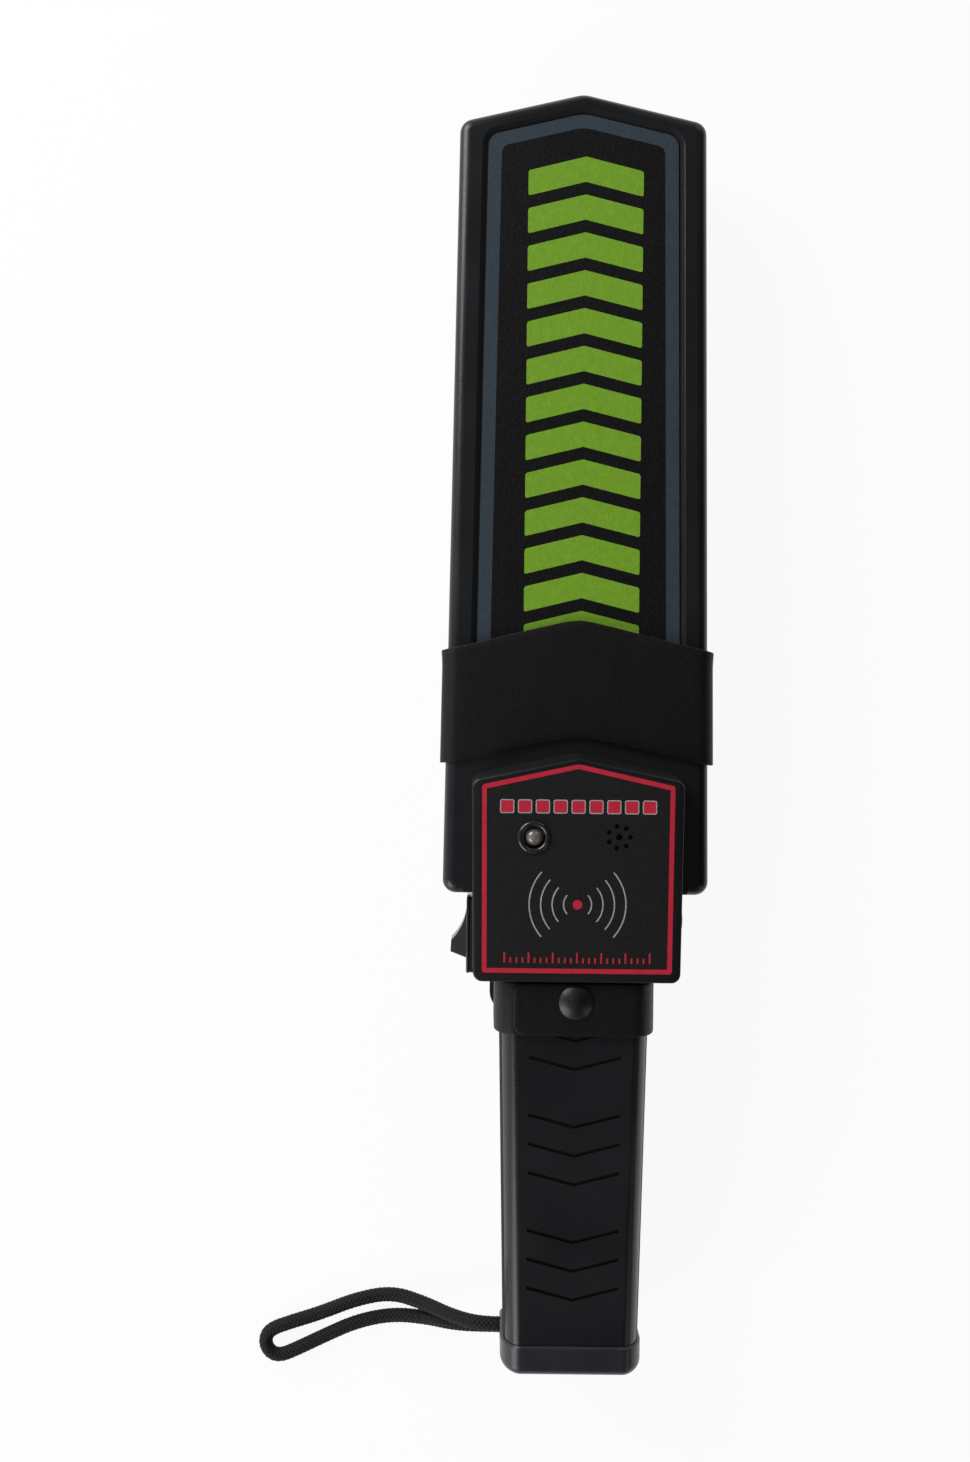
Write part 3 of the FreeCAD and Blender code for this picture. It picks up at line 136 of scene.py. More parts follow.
class Recipe:
    """One material's node tree, built from values and links."""

    def __init__(self, name: str) -> None:
        """Starts a material of that name."""
        self.material = bpy.data.materials.new(name)
        self.start(self.material, "ShaderNodeBsdfPrincipled", "ShaderNodeOutputMaterial", "Object")

    def start(self, owner: Union[bpy.types.Material, bpy.types.World], shader: str, output: str,
              place: str) -> None:
        """Starts an empty tree with its shader, output and coordinates.

        Args:
            owner: what the tree belongs to.
            shader: the shader node's type.
            output: the output node's type.
            place: which coordinates the patterns use.
        """
        owner.use_nodes = True
        self.tree = owner.node_tree
        self.tree.nodes.clear()
        self.shader = self.node(shader, {}, {})
        self.output = self.node(output, {}, {})
        self.plug(self.output.inputs["Surface"], self.shader.outputs[0])
        self.place = self.node("ShaderNodeTexCoord", {}, {}).outputs[place]

    def node(self, kind: str, settings: Dict[str, object],
             inputs: Dict[Union[str, int], object]) -> bpy.types.Node:
        """Adds one node.

        Args:
            kind: the node's type.
            settings: its properties; "stops" holds a ramp's (place, colour) pairs.
            inputs: values, sockets or signals for its sockets.

        Returns:
            The node.
        """
        node = self.tree.nodes.new(kind)
        for key, value in settings.items():
            if key == "stops":
                self.set_stops(node, value)
            else:
                setattr(node, key, value)
        for key, value in inputs.items():
            self.plug(node.inputs[key], value)
        return node

    def plug(self, target: bpy.types.NodeSocket, value: object) -> None:
        """Links a signal or a socket to a socket, or writes a plain value in it."""
        if isinstance(value, Signal):
            value = value.socket
        if isinstance(value, bpy.types.NodeSocket):
            self.tree.links.new(value, target)
        else:
            target.default_value = value

    @staticmethod
    def set_stops(node: bpy.types.Node, stops: Sequence[Tuple[float, Colour]]) -> None:
        """Writes a ramp's stops."""
        elements = node.color_ramp.elements
        while len(elements) > 1:
            elements.remove(elements[-1])
        for i, (where, colour) in enumerate(stops):
            element = elements[0] if i == 0 else elements.new(where)
            element.position = where
            element.color = (*colour, 1.0)

    def axis(self, name: str) -> Signal:
        """One Object coordinate, X, Y or Z, in metres."""
        split = self.node("ShaderNodeSeparateXYZ", {}, {0: self.place})
        return Signal(self, split.outputs[name])

    def stretched(self, x: float, y: float, z: float) -> bpy.types.NodeSocket:
        """Object coordinates scaled along each axis."""
        node = self.node("ShaderNodeMapping", {}, {"Vector": self.place, "Scale": (x, y, z)})
        return node.outputs[0]

    def noise(self, size_mm: float, detail: float = 3.0, rough: float = 0.55,
              vector: Optional[bpy.types.NodeSocket] = None) -> Signal:
        """Cloudy value from nought to one, its clouds as wide as the size."""
        node = self.node("ShaderNodeTexNoise", {}, {
            "Vector": vector or self.place, "Scale": 1.0 / (size_mm * MM), "Detail": detail,
            "Roughness": rough})
        return Signal(self, node.outputs["Fac"])

    def cells(self, size_mm: float, feature: str = "F1", spread: float = 1.0,
              vector: Optional[bpy.types.NodeSocket] = None) -> Signal:
        """Distance inside a pattern of cells as wide as the size."""
        node = self.node("ShaderNodeTexVoronoi", {"feature": feature}, {
            "Vector": vector or self.place, "Scale": 1.0 / (size_mm * MM), "Randomness": spread})
        return Signal(self, node.outputs["Distance"])

    def ramp(self, value: Signal, low: float, high: float, first: float = 0.0, last: float = 1.0) -> Signal:
        """The value stretched from one range to another, and held there."""
        node = self.node("ShaderNodeMapRange", {"clamp": True}, {
            0: value, 1: low, 2: high, 3: first, 4: last})
        return Signal(self, node.outputs[0])

    def mix(self, share: Signal, first: Union[Colour, bpy.types.NodeSocket],
            second: Union[Colour, bpy.types.NodeSocket]) -> bpy.types.NodeSocket:
        """Blend of two colours.

        Args:
            share: how much of the second.
            first: colour at nought.
            second: colour at one.

        Returns:
            The colour's socket.
        """
        def full(colour: Union[Colour, bpy.types.NodeSocket]) -> object:
            """Adds the alpha that a plain colour lacks."""
            return (*colour, 1.0) if isinstance(colour, tuple) else colour

        node = self.node("ShaderNodeMix", {"data_type": "RGBA"},
                         {0: share, 6: full(first), 7: full(second)})
        return node.outputs[2]

    def lighter(self, share: Signal, colour: Colour, gain: float, more: float = 0.0) -> bpy.types.NodeSocket:
        """Blend of a colour with its own tone, made lighter by a gain and an addition."""
        return self.mix(share, colour, tuple(min(1.0, c * gain + more) for c in colour))

    def bump(self, height: Signal, depth_mm: float, strength: float = 1.0) -> None:
        """Feeds a relief from nought to one to the shader, at a depth and a strength."""
        node = self.node("ShaderNodeBump", {}, {
            "Height": height, "Distance": depth_mm * MM, "Strength": strength})
        self.feed("Normal", node.outputs[0])

    def feed(self, socket: str, value: object) -> None:
        """Sets or links one of the shader's sockets."""
        self.plug(self.shader.inputs[socket], value)


class SkyRecipe(Recipe):
    """The world's node tree, built by the same methods as a material's."""

    def __init__(self, name: str) -> None:
        """Starts a world of that name."""
        self.world = bpy.data.worlds.new(name)
        self.start(self.world, "ShaderNodeBackground", "ShaderNodeOutputWorld", "Generated")


# Finishes


@dataclass(frozen=True)
class Look:
    """What every finish has: a name, a colour and a way to its material."""

    name: str
    colour: Colour

    def make(self) -> bpy.types.Material:
        """Returns the material."""
        recipe = Recipe(self.name)
        self.fill(recipe)
        return recipe.material


@dataclass(frozen=True)
class MouldedPlastic(Look):
    """Plastic with a moulded grain, faint smudges and, if asked, a parting line and a well whose walls carry
    painted shade and are matt.

    The well's walls lie under a height, within a half width and short of a gable, all in millimetres.
    """

    roughness: float
    grain_mm: float = 0.5
    grain_deep_mm: float = 0.02
    smudge: float = 0.08
    parting_mm: Optional[float] = None
    shine: float = 0.4
    well_shade_mm: Optional[Tuple[float, float, float]] = None
    gable_slope: float = 0.235

    def fill(self, recipe: Recipe) -> None:
        """Writes the finish's nodes."""
        cloud = recipe.noise(38.0, 4.0)
        speck = recipe.noise(self.grain_mm, 2.0)
        tone = recipe.lighter(recipe.ramp(cloud, 0.35, 0.7), self.colour, 1.5, 0.001)
        relief = recipe.ramp(speck, 0.25, 0.75)
        if self.parting_mm is not None:
            line = abs(recipe.axis("Z") - self.parting_mm * MM).below(0.16 * MM)
            tone = recipe.mix(line, tone, tuple(c * 0.25 for c in self.colour))
            relief = relief - line * 6.0
        rough = recipe.ramp(cloud + speck * 0.3, 0.4, 0.9,
                            self.roughness - self.smudge, self.roughness + self.smudge)
        # Painted shade: inside the well the colour drops to 0.3 of itself, standing in for the shade in the
        # recess; the well is also made rougher.
        if self.well_shade_mm is not None:
            half, apex, height = (size * MM for size in self.well_shade_mm)
            across = abs(recipe.axis("X"))
            well = across.below(half) * (recipe.axis("Y") + across * self.gable_slope).below(apex)
            well = well * recipe.axis("Z").below(height)
            tone = recipe.mix(well, tone, tuple(c * 0.3 for c in self.colour))
            rough = rough + well * 0.6
        recipe.feed("Base Color", tone)
        recipe.feed("Roughness", rough)
        recipe.feed("Specular IOR Level", self.shine)
        recipe.bump(relief, self.grain_deep_mm)


@dataclass(frozen=True)
class GlossPlastic(Look):
    """Polished plastic with hair-fine rub marks."""

    roughness: float = 0.16
    coat: float = 0.3

    def fill(self, recipe: Recipe) -> None:
        """Writes the finish's nodes."""
        rub = recipe.noise(1.2, 4.0, vector=recipe.stretched(1.0, 0.12, 1.0))
        cloud = recipe.noise(9.0, 3.0)
        recipe.feed("Base Color", recipe.lighter(cloud, self.colour, 1.25))
        recipe.feed("Roughness", recipe.ramp(rub, 0.45, 0.75, self.roughness, self.roughness + 0.14))
        recipe.feed("Coat Weight", self.coat)
        recipe.feed("Coat Roughness", 0.08)
        recipe.bump(rub, 0.004, 0.5)


@dataclass(frozen=True)
class PrintedFilm(Look):
    """Printed polyester film with the fine leather-like grain of a label."""

    roughness: float
    grain_mm: float = 0.9
    grain_deep_mm: float = 0.035
    shine: float = 0.3

    def fill(self, recipe: Recipe) -> None:
        """Writes the finish's nodes."""
        pebble = recipe.cells(self.grain_mm)
        ink = recipe.noise(2.4, 5.0, 0.7)
        recipe.feed("Base Color", recipe.lighter(recipe.ramp(ink, 0.35, 0.75), self.colour, 1.22, 0.001))
        recipe.feed("Roughness", recipe.ramp(pebble, 0.0, 0.8, self.roughness - 0.06, self.roughness + 0.1))
        recipe.feed("Specular IOR Level", self.shine)
        recipe.bump(recipe.ramp(pebble, 0.0, 0.75, 1.0, 0.0), self.grain_deep_mm)


@dataclass(frozen=True)
class PebbledLeather(Look):
    """Black leather: pebbled grain, pores, creases and rubbed high spots."""

    worn: Colour
    roughness: float = 0.50
    pebble_mm: float = 0.8
    stray_mm: float = 0.4
    shine: float = 0.3

    def fill(self, recipe: Recipe) -> None:
        """Writes the finish's nodes."""
        stray = recipe.node("ShaderNodeTexNoise", {}, {"Vector": recipe.place, "Scale": 900.0})
        warp = recipe.node("ShaderNodeVectorMath", {"operation": "MULTIPLY_ADD"}, {
            0: stray.outputs["Color"], 1: (self.stray_mm * MM,) * 3, 2: recipe.place}).outputs[0]
        pebble = recipe.cells(self.pebble_mm, "SMOOTH_F1", 1.0, warp)
        fine = recipe.cells(self.pebble_mm * 0.42, "F1", 1.0, warp)
        cloud = recipe.noise(16.0, 5.0, 0.6)
        crease = recipe.noise(5.0, 3.0, 0.5, recipe.stretched(1.0, 0.3, 1.0))
        dome = recipe.ramp(pebble, 0.05, 0.7, 1.0, 0.0)
        relief = dome * 0.65 + recipe.ramp(fine, 0.0, 0.6, 0.35, 0.0)
        relief = relief + recipe.ramp(crease, 0.3, 0.7) * 0.25
        rub = recipe.ramp(cloud, 0.52, 0.8) * dome
        recipe.feed("Base Color", recipe.mix(rub, self.colour, self.worn))
        recipe.feed("Roughness", recipe.ramp(relief, 0.1, 1.1, self.roughness + 0.12, self.roughness - 0.1))
        recipe.feed("Specular IOR Level", self.shine)
        recipe.bump(relief, 0.05, 0.9)


@dataclass(frozen=True)
class Metal(Look):
    """Turned or stamped metal with fine tool marks."""

    roughness: float
    tarnish: Colour

    def fill(self, recipe: Recipe) -> None:
        """Writes the finish's nodes."""
        mark = recipe.noise(0.5, 3.0, vector=recipe.stretched(0.2, 1.0, 1.0))
        cloud = recipe.noise(3.5, 4.0)
        recipe.feed("Metallic", 1.0)
        recipe.feed("Base Color", recipe.mix(recipe.ramp(cloud, 0.45, 0.8), self.colour, self.tarnish))
        recipe.feed("Roughness", recipe.ramp(mark, 0.3, 0.75, self.roughness, self.roughness + 0.16))
        recipe.bump(mark, 0.006, 0.6)


@dataclass(frozen=True)
class BraidYarn(Look):
    """Twisted yarn: its twist follows the yarn's own UV map, where it has one."""

    fibre: Colour
    map_name: Optional[str] = None

    def fill(self, recipe: Recipe) -> None:
        """Writes the finish's nodes."""
        if self.map_name is None:
            turn, scale = recipe.place, 320.0
        else:
            turn, scale = recipe.node("ShaderNodeUVMap", {"uv_map": self.map_name}, {}).outputs[0], 1.6
        wave = Signal(recipe, recipe.node("ShaderNodeTexWave", {"bands_direction": "DIAGONAL"}, {
            "Vector": turn, "Scale": scale, "Distortion": 1.2, "Detail": 2.0}).outputs["Fac"])
        fuzz = recipe.noise(0.35, 3.0)
        share = recipe.ramp(wave * 0.6 + fuzz * 0.4, 0.35, 0.8)
        recipe.feed("Base Color", recipe.mix(share, self.colour, self.fibre))
        recipe.feed("Roughness", recipe.ramp(fuzz, 0.3, 0.7, 0.5, 0.8))
        recipe.feed("Sheen Weight", 0.04)
        recipe.feed("Specular IOR Level", 0.25)
        recipe.bump(wave, 0.05, 0.8)


@dataclass(frozen=True)
class MilkyLens(Look):
    """Diffusing lamp body, greyer in the middle where the chip's cup shows through."""

    centre_mm: Spot

    def fill(self, recipe: Recipe) -> None:
        """Writes the finish's nodes."""
        dx = recipe.axis("X") - self.centre_mm[0] * MM
        dy = recipe.axis("Y") - self.centre_mm[1] * MM
        away = (dx * dx + dy * dy) ** 0.5
        cup = recipe.ramp(away, 1.1 * MM, 2.9 * MM)
        recipe.feed("Base Color", recipe.lighter(cup, self.colour, 1.7))
        recipe.feed("Roughness", recipe.ramp(recipe.noise(1.5), 0.3, 0.8, 0.05, 0.12))
        recipe.feed("Coat Weight", 0.8)
        recipe.bump(recipe.noise(0.8, 2.0), 0.004, 0.4)


class Finish(Enum):
    """Every finish on the wand and its holster."""

    # The housing's well walls carry painted shade.
    HOUSING = MouldedPlastic("housing plastic", (0.0056, 0.0061, 0.0075), 0.31, 0.55, 0.016, 0.05,
                             parting_mm=24.0, well_shade_mm=(36.0, 202.0, 38.93))
    COVER = MouldedPlastic("cover plastic", (0.0052, 0.0054, 0.0062), 0.32, 0.5, 0.012, 0.05)
    # Side-wall copy of the cover plastic: rougher, with deeper grain, and a darker colour that is painted
    # shade.
    COVER_WALL = MouldedPlastic("cover side grain and painted shade", (0.0042, 0.0044, 0.0050), 0.72, 0.5, 0.03, 0.05,
                                shine=0.2)
    # The end cap's colour is about three times the housing's: painted light for the light that its face
    # catches.
    CAP = MouldedPlastic("end cap plastic with painted light", (0.0160, 0.0170, 0.0205), 0.34, 0.55, 0.014, 0.05)
    INNER = MouldedPlastic("inner moulding", (0.20, 0.20, 0.21), 0.55, 0.6, 0.02)
    EPOXY = MouldedPlastic("moulded epoxy", (0.02, 0.02, 0.021), 0.5, 0.4, 0.02)
    BOARD = MouldedPlastic("solder resist", (0.012, 0.10, 0.035), 0.35, 1.4, 0.01)
    FOAM = MouldedPlastic("foam pad", (0.03, 0.03, 0.03), 0.85, 0.7, 0.08)
    LEAD = GlossPlastic("lead sheath", (0.32, 0.015, 0.015), 0.38, 0.0)
    TRIM = GlossPlastic("polished black trim", (0.009, 0.009, 0.010), 0.14)
    ROCKER = GlossPlastic("rocker plastic", (0.021, 0.021, 0.023), 0.26, 0.15)
    BUTTON = GlossPlastic("red button", (0.40, 0.012, 0.02), 0.2)
    WRAP = GlossPlastic("battery wrap", (0.02, 0.03, 0.06), 0.3)
    FIELD = PrintedFilm("black film", (0.0022, 0.0018, 0.0022), 0.42, shine=0.24)
    PANEL = PrintedFilm("panel film", (0.0062, 0.0062, 0.0064), 0.44, 0.7, 0.02)
    STRIPE = PrintedFilm("blue-grey ink", (0.025, 0.037, 0.050), 0.50)
    GREEN = PrintedFilm("green ink", (0.150, 0.310, 0.015), 0.50)
    RED = PrintedFilm("red ink", (0.44, 0.013, 0.035), 0.5, 0.7, 0.015)
    PALE = PrintedFilm("pale grey ink", (0.30, 0.30, 0.30), 0.5, 0.7, 0.01)
    LEATHER = PebbledLeather("holster leather", (0.0024, 0.0022, 0.0022), (0.0060, 0.0056, 0.0054),
                             shine=0.24)
    # Cut edges are lighter than the grain side: partly the cut leather's own tone, partly a painted
    # highlight along the edges.
    CUT_EDGE = PebbledLeather("cut leather edge with painted highlight", (0.012, 0.011, 0.011), (0.022, 0.020, 0.019), 0.62, 0.4)
    THREAD = BraidYarn("waxed thread", (0.010, 0.010, 0.010), (0.04, 0.04, 0.04))
    KNOT = BraidYarn("knotted cord", (0.003, 0.003, 0.0034), (0.010, 0.010, 0.011))
    BRAID = BraidYarn("braided cord", (0.0018, 0.0018, 0.0022), (0.0070, 0.0070, 0.0080), "along")
    STEEL = Metal("zinc plated steel", (0.52, 0.52, 0.53), 0.32, (0.36, 0.36, 0.35))
    NICKEL = Metal("nickel plate", (0.66, 0.64, 0.60), 0.18, (0.50, 0.48, 0.45))
    BRASS = Metal("turned brass", (0.62, 0.45, 0.18), 0.3, (0.42, 0.30, 0.12))
    COPPER = Metal("enamelled copper", (0.60, 0.22, 0.09), 0.3, (0.42, 0.13, 0.05))
    ENAMEL = GlossPlastic("black enamel", (0.0050, 0.0045, 0.0034), 0.35, 0.0)
    LENS = MilkyLens("milky lens", (0.170, 0.155, 0.130), (-13.9, -33.5))

    @property
    def material(self) -> bpy.types.Material:
        """The material, made once."""
        found = bpy.data.materials.get(self.value.name)
        return found or self.value.make()


CAD_FINISHES: Dict[Finish, Sequence[str]] = {
    Finish.HOUSING: ("front_housing", "rear_housing"),
    Finish.COVER: ("control_cover",),
    Finish.CAP: ("end_cap",),
    Finish.FIELD: ("paddle_label",),
    Finish.PANEL: ("panel_label",),
    Finish.TRIM: ("led_bezel", "switch_frame", "button_bezel"),
    Finish.LENS: ("led_lens",),
    Finish.BOARD: ("control_board",),
    Finish.EPOXY: ("buzzer", "board_parts", "button_switch", "headphone_jack", "battery_connector"),
    Finish.STEEL: ("board_screws", "cover_screws", "housing_screws", "vibration_motor"),
    Finish.INNER: ("coil_former",),
    Finish.COPPER: ("search_coil",),
    Finish.LEAD: ("coil_lead", "battery_lead"),
    Finish.ROCKER: ("power_rocker",),
    Finish.BUTTON: ("push_button",),
    Finish.NICKEL: ("jack_nut", "holster_rivets", "snap_socket", "snap_stud"),
    Finish.BRASS: ("motor_weight",),
    Finish.WRAP: ("battery",),
    Finish.FOAM: ("battery_pad",),
    Finish.KNOT: ("lanyard_knot",),
    Finish.ENAMEL: ("snap_cap",),
}


# Modelling by hand


class Part(Enum):
    """What an edit-mode selection is made of."""

    CORNER = "VERT"
    EDGE = "EDGE"
    FACE = "FACE"


class Workpiece:
    """A new mesh on the bench, with the operators used on it."""

    spare: float = 2.0
    corner_reach: float = 0.05

    def __init__(self, name: str) -> None:
        """Takes the object that was just added and names it."""
        self.obj = bpy.context.object
        self.obj.name = name
        self.obj.data.name = name

    @staticmethod
    def clear() -> None:
        """Leaves edit mode with nothing selected."""
        if bpy.context.object and bpy.context.object.mode != "OBJECT":
            bpy.ops.object.mode_set(mode="OBJECT")
        bpy.ops.object.select_all(action="DESELECT")

    @staticmethod
    def settle() -> None:
        """Writes the active object's place and scale into its mesh."""
        bpy.ops.object.transform_apply(location=True, rotation=True, scale=True)

    def open(self) -> "Workpiece":
        """Opens the piece for editing."""
        bpy.ops.object.mode_set(mode="EDIT")
        return self

    def shut(self) -> None:
        """Leaves edit mode."""
        if self.obj.mode != "OBJECT":
            bpy.ops.object.mode_set(mode="OBJECT")

    @classmethod
    def plane(cls, name: str, x0: float, x1: float, y0: float, y1: float, z: float) -> "Workpiece":
        """Flat sheet between two corners, in millimetres.

        Args:
            name: the piece's name.
            x0: left side.
            x1: right side.
            y0: near side.
            y1: far side.
            z: height.

        Returns:
            The workpiece, in edit mode.
        """
        cls.clear()
        bpy.ops.mesh.primitive_plane_add(size=1.0, location=metres((x0 + x1) / 2, (y0 + y1) / 2, z))
        piece = cls(name)
        piece.obj.scale = ((x1 - x0) * MM, (y1 - y0) * MM, 1.0)
        cls.settle()
        return piece.open()

    @classmethod
    def disc(cls, name: str, y: float, z: float, radius: float, sides: int) -> "Workpiece":
        """Flat round sheet on the middle line.

        Args:
            name: the piece's name.
            y: place of its middle, in millimetres.
            z: height.
            radius: its radius.
            sides: edges round it.

        Returns:
            The workpiece, in edit mode.
        """
        cls.clear()
        bpy.ops.mesh.primitive_circle_add(vertices=sides, radius=radius * MM, fill_type="NGON",
                                          location=metres(0.0, y, z))
        piece = cls(name)
        cls.settle()
        return piece.open()

    @classmethod
    def strip(cls, name: str, profile: Sequence[Spot], start: float, end: float, rows: int,
              lift: Callable[[Spot, float], Vector]) -> "Workpiece":
        """Strip of leather extruded along a profile.

        Args:
            name: the piece's name.
            profile: the profile's points, in millimetres.
            start: one side of the strip.
            end: its other side.
            rows: faces across the strip.
            lift: turns a profile point and a place across into a place in space.

        Returns:
            The workpiece, in edit mode.
        """
        cls.clear()
        bpy.ops.mesh.primitive_grid_add(x_subdivisions=1, y_subdivisions=rows, size=1.0)
        piece = cls(name)
        for corner in piece.obj.data.vertices:
            across = start + (end - start) * (corner.co.y + 0.5)
            corner.co = lift(profile[0] if corner.co.x < 0 else profile[1], across)
        piece.open()
        near = [lift(profile[1], start + (end - start) * k / rows) for k in range(rows + 1)]
        piece.pick(Part.EDGE, lambda middle: any(
            (middle - (a + b) / 2).length < SAME / 10 for a, b in zip(near, near[1:])))
        for before, after in zip(profile[1:], profile[2:]):
            step = lift(after, start) - lift(before, start)
            bpy.ops.mesh.extrude_region_move(TRANSFORM_OT_translate={"value": step})
        return piece

    def pick(self, part: Part, test: Callable[[Vector], bool]) -> None:
        """Selects corners or edges by their place.

        Args:
            part: what is selected.
            test: takes an element's middle, in metres.
        """
        bpy.ops.mesh.select_mode(type=part.value)
        bpy.ops.mesh.select_all(action="DESELECT")
        mesh = bmesh.from_edit_mesh(self.obj.data)
        if part is Part.EDGE:
            found = [(edge, (edge.verts[0].co + edge.verts[1].co) / 2) for edge in mesh.edges]
        else:
            found = [(corner, corner.co) for corner in mesh.verts]
        for element, middle in found:
            if test(middle):
                element.select_set(True)
        bmesh.update_edit_mesh(self.obj.data)

    @staticmethod
    def pick_all(part: Optional[Part] = None) -> None:
        """Selects the whole mesh, as corners, edges or faces where one is given."""
        if part is not None:
            bpy.ops.mesh.select_mode(type=part.value)
        bpy.ops.mesh.select_all(action="SELECT")

    @classmethod
    def plate(cls, name: str, corners: Sequence[Spot], z: float,
              rounding: Sequence[float] = ()) -> "Workpiece":
        """Flat plate cut to a convex outline, its corners rounded.

        Args:
            name: the piece's name.
            corners: the outline, anticlockwise, in millimetres.
            z: height.
            rounding: how far each corner is cut back.

        Returns:
            The workpiece, in edit mode.
        """
        xs, ys = zip(*corners)
        piece = cls.plane(name, min(xs) - cls.spare, max(xs) + cls.spare,
                          min(ys) - cls.spare, max(ys) + cls.spare, z)
        for i, corner in enumerate(corners):
            piece.trim(corners[i - 1], corner)
        piece.round_corners({corner: reach for corner, reach in zip(corners, rounding) if reach > 0})
        return piece

    @classmethod
    def bridged(cls, name: str, first: Ring, last: Ring) -> "Workpiece":
        """Open wall between two rounded outlines with as many corners.

        Args:
            name: the piece's name.
            first: one outline, its height and its corners' rounding.
            last: the other.

        Returns:
            The workpiece, in edit mode.
        """
        pieces = []
        for title, ring in ((name + "_hole", first), (name, last)):
            pieces.append(cls.plate(title, *ring))
            cls.pick_all()
            bpy.ops.mesh.delete(type="ONLY_FACE")
        pieces[1].shut()
        for piece in pieces:
            piece.obj.select_set(True)
        bpy.ops.object.join()
        piece.open()
        cls.pick_all(Part.EDGE)
        bpy.ops.mesh.bridge_edge_loops()
        return piece

    @classmethod
    def tapered(cls, name: str, first: Ring, last: Ring) -> "Workpiece":
        """Closed block between two rounded outlines at two heights.

        Args:
            name: the piece's name.
            first: one outline, its height and its corners' rounding.
            last: the other.

        Returns:
            The workpiece, in edit mode.
        """
        piece = cls.bridged(name, first, last)
        for height in (first[1], last[1]):
            piece.pick(Part.EDGE, lambda middle: abs(middle.z - height * MM) < SAME)
            bpy.ops.mesh.edge_face_add()
        piece.mend_normals()
        return piece

    @classmethod
    def rod(cls, name: str, x: float, y: float, low: float, high: float, radius: float,
            sides: int = 32) -> "Workpiece":
        """Upright round bar.

        Args:
            name: the piece's name.
            x: place of its middle, in millimetres.
            y: place of its middle.
            low: its lower end.
            high: its upper end.
            radius: its radius.
            sides: faces round it.

        Returns:
            The workpiece, in object mode.
        """
        cls.clear()
        bpy.ops.mesh.primitive_cylinder_add(vertices=sides, radius=radius * MM, depth=(high - low) * MM,
                                            location=metres(x, y, (low + high) / 2))
        piece = cls(name)
        cls.settle()
        return piece

    @classmethod
    def block(cls, name: str, low: Vector, high: Vector) -> "Workpiece":
        """Plain block between two corners, in metres.

        Args:
            name: the piece's name.
            low: its lowest corner.
            high: its highest corner.

        Returns:
            The workpiece, in object mode.
        """
        cls.clear()
        bpy.ops.mesh.primitive_cube_add(size=1.0, location=(low + high) / 2)
        piece = cls(name)
        piece.obj.scale = high - low
        cls.settle()
        return piece

    def carve(self, tool: "Workpiece") -> None:
        """Cuts another workpiece out of this one and puts it away."""
        self.use(tool, "DIFFERENCE")

    def add(self, tool: "Workpiece") -> None:
        """Joins another workpiece to this one."""
        self.use(tool, "UNION")

    def use(self, tool: "Workpiece", how: str) -> None:
        """Applies a boolean with another workpiece, which is then removed.

        Args:
            tool: the other workpiece.
            how: the boolean's operation.
        """
        self.clear()
        self.obj.select_set(True)
        bpy.context.view_layer.objects.active = self.obj
        self.modify("BOOLEAN", operation=how, object=tool.obj, solver="EXACT")
        shape = tool.obj.data
        bpy.data.objects.remove(tool.obj)
        bpy.data.meshes.remove(shape)

    def trim(self, a: Spot, b: Spot) -> None:
        """Cuts away what lies to the right of the line from a to b, seen from above."""
        self.pick_all()
        way = Vector((b[0] - a[0], b[1] - a[1], 0.0)).normalized()
        bpy.ops.mesh.bisect(plane_co=metres(a[0], a[1], 0.0), plane_no=(way.y, -way.x, 0.0),
                            clear_outer=True, threshold=SAME / 10)

    def round_corners(self, corners: Dict[Spot, float], segments: int = 8) -> None:
        """Rounds the flat outline's corners, each back by its own distance.

        Args:
            corners: distance for each corner, in millimetres.
            segments: edges per corner.
        """
        for (x, y), reach in corners.items():
            self.pick(Part.CORNER, lambda place: math.hypot(
                place.x - x * MM, place.y - y * MM) < self.corner_reach * MM)
            bpy.ops.mesh.bevel(offset=reach * MM, offset_type="OFFSET", segments=segments,
                               affect="VERTICES")

    def ring(self, wide_mm: float) -> None:
        """Turns a flat plate into a band of that width round its outline."""
        self.pick_all(Part.FACE)
        bpy.ops.mesh.inset(thickness=wide_mm * MM, use_even_offset=True)
        bpy.ops.mesh.delete(type="FACE")

    def thicken(self, up_mm: float) -> None:
        """Raises the whole flat sheet into a plate."""
        self.pick_all(Part.FACE)
        bpy.ops.mesh.extrude_region_move(TRANSFORM_OT_translate={"value": (0.0, 0.0, up_mm * MM)})
        self.mend_normals()

    def mend_normals(self) -> None:
        """Turns every face outwards."""
        self.pick_all()
        bpy.ops.mesh.normals_make_consistent(inside=False)

    def face_out(self, way: Vector) -> None:
        """Turns an open sheet so that its faces furthest one way look that way."""
        self.mend_normals()
        mesh = bmesh.from_edit_mesh(self.obj.data)
        mesh.normal_update()
        top = max(mesh.faces, key=lambda face: face.calc_center_median().dot(way))
        if top.normal.dot(way) < 0:
            bpy.ops.mesh.flip_normals()

    def mould(self, rule: Callable[[Vector], Vector]) -> None:
        """Moves every corner of the mesh by a rule, as wet leather is moulded."""
        self.shut()
        for corner in self.obj.data.vertices:
            corner.co = rule(corner.co.copy())
        self.open()

    def modify(self, kind: str, **settings: object) -> None:
        """Adds a modifier with its settings and applies it."""
        self.shut()
        modifier = self.obj.modifiers.new(kind.lower(), kind)
        for key, value in settings.items():
            setattr(modifier, key, value)
        bpy.ops.object.modifier_apply(modifier=modifier.name)

    def repeat(self, count: int, x: float, y: float) -> None:
        """Copies the piece in a row of that count, each moved on by x and y millimetres."""
        self.modify("ARRAY", count=count, use_relative_offset=False, use_constant_offset=True,
                    constant_offset_displace=(x * MM, y * MM, 0.0))

    def soften(self, wide_mm: float, sharp_deg: float) -> None:
        """Breaks the edges that are sharper than an angle."""
        self.modify("BEVEL", width=wide_mm * MM, segments=3, limit_method="ANGLE",
                    angle_limit=math.radians(sharp_deg))

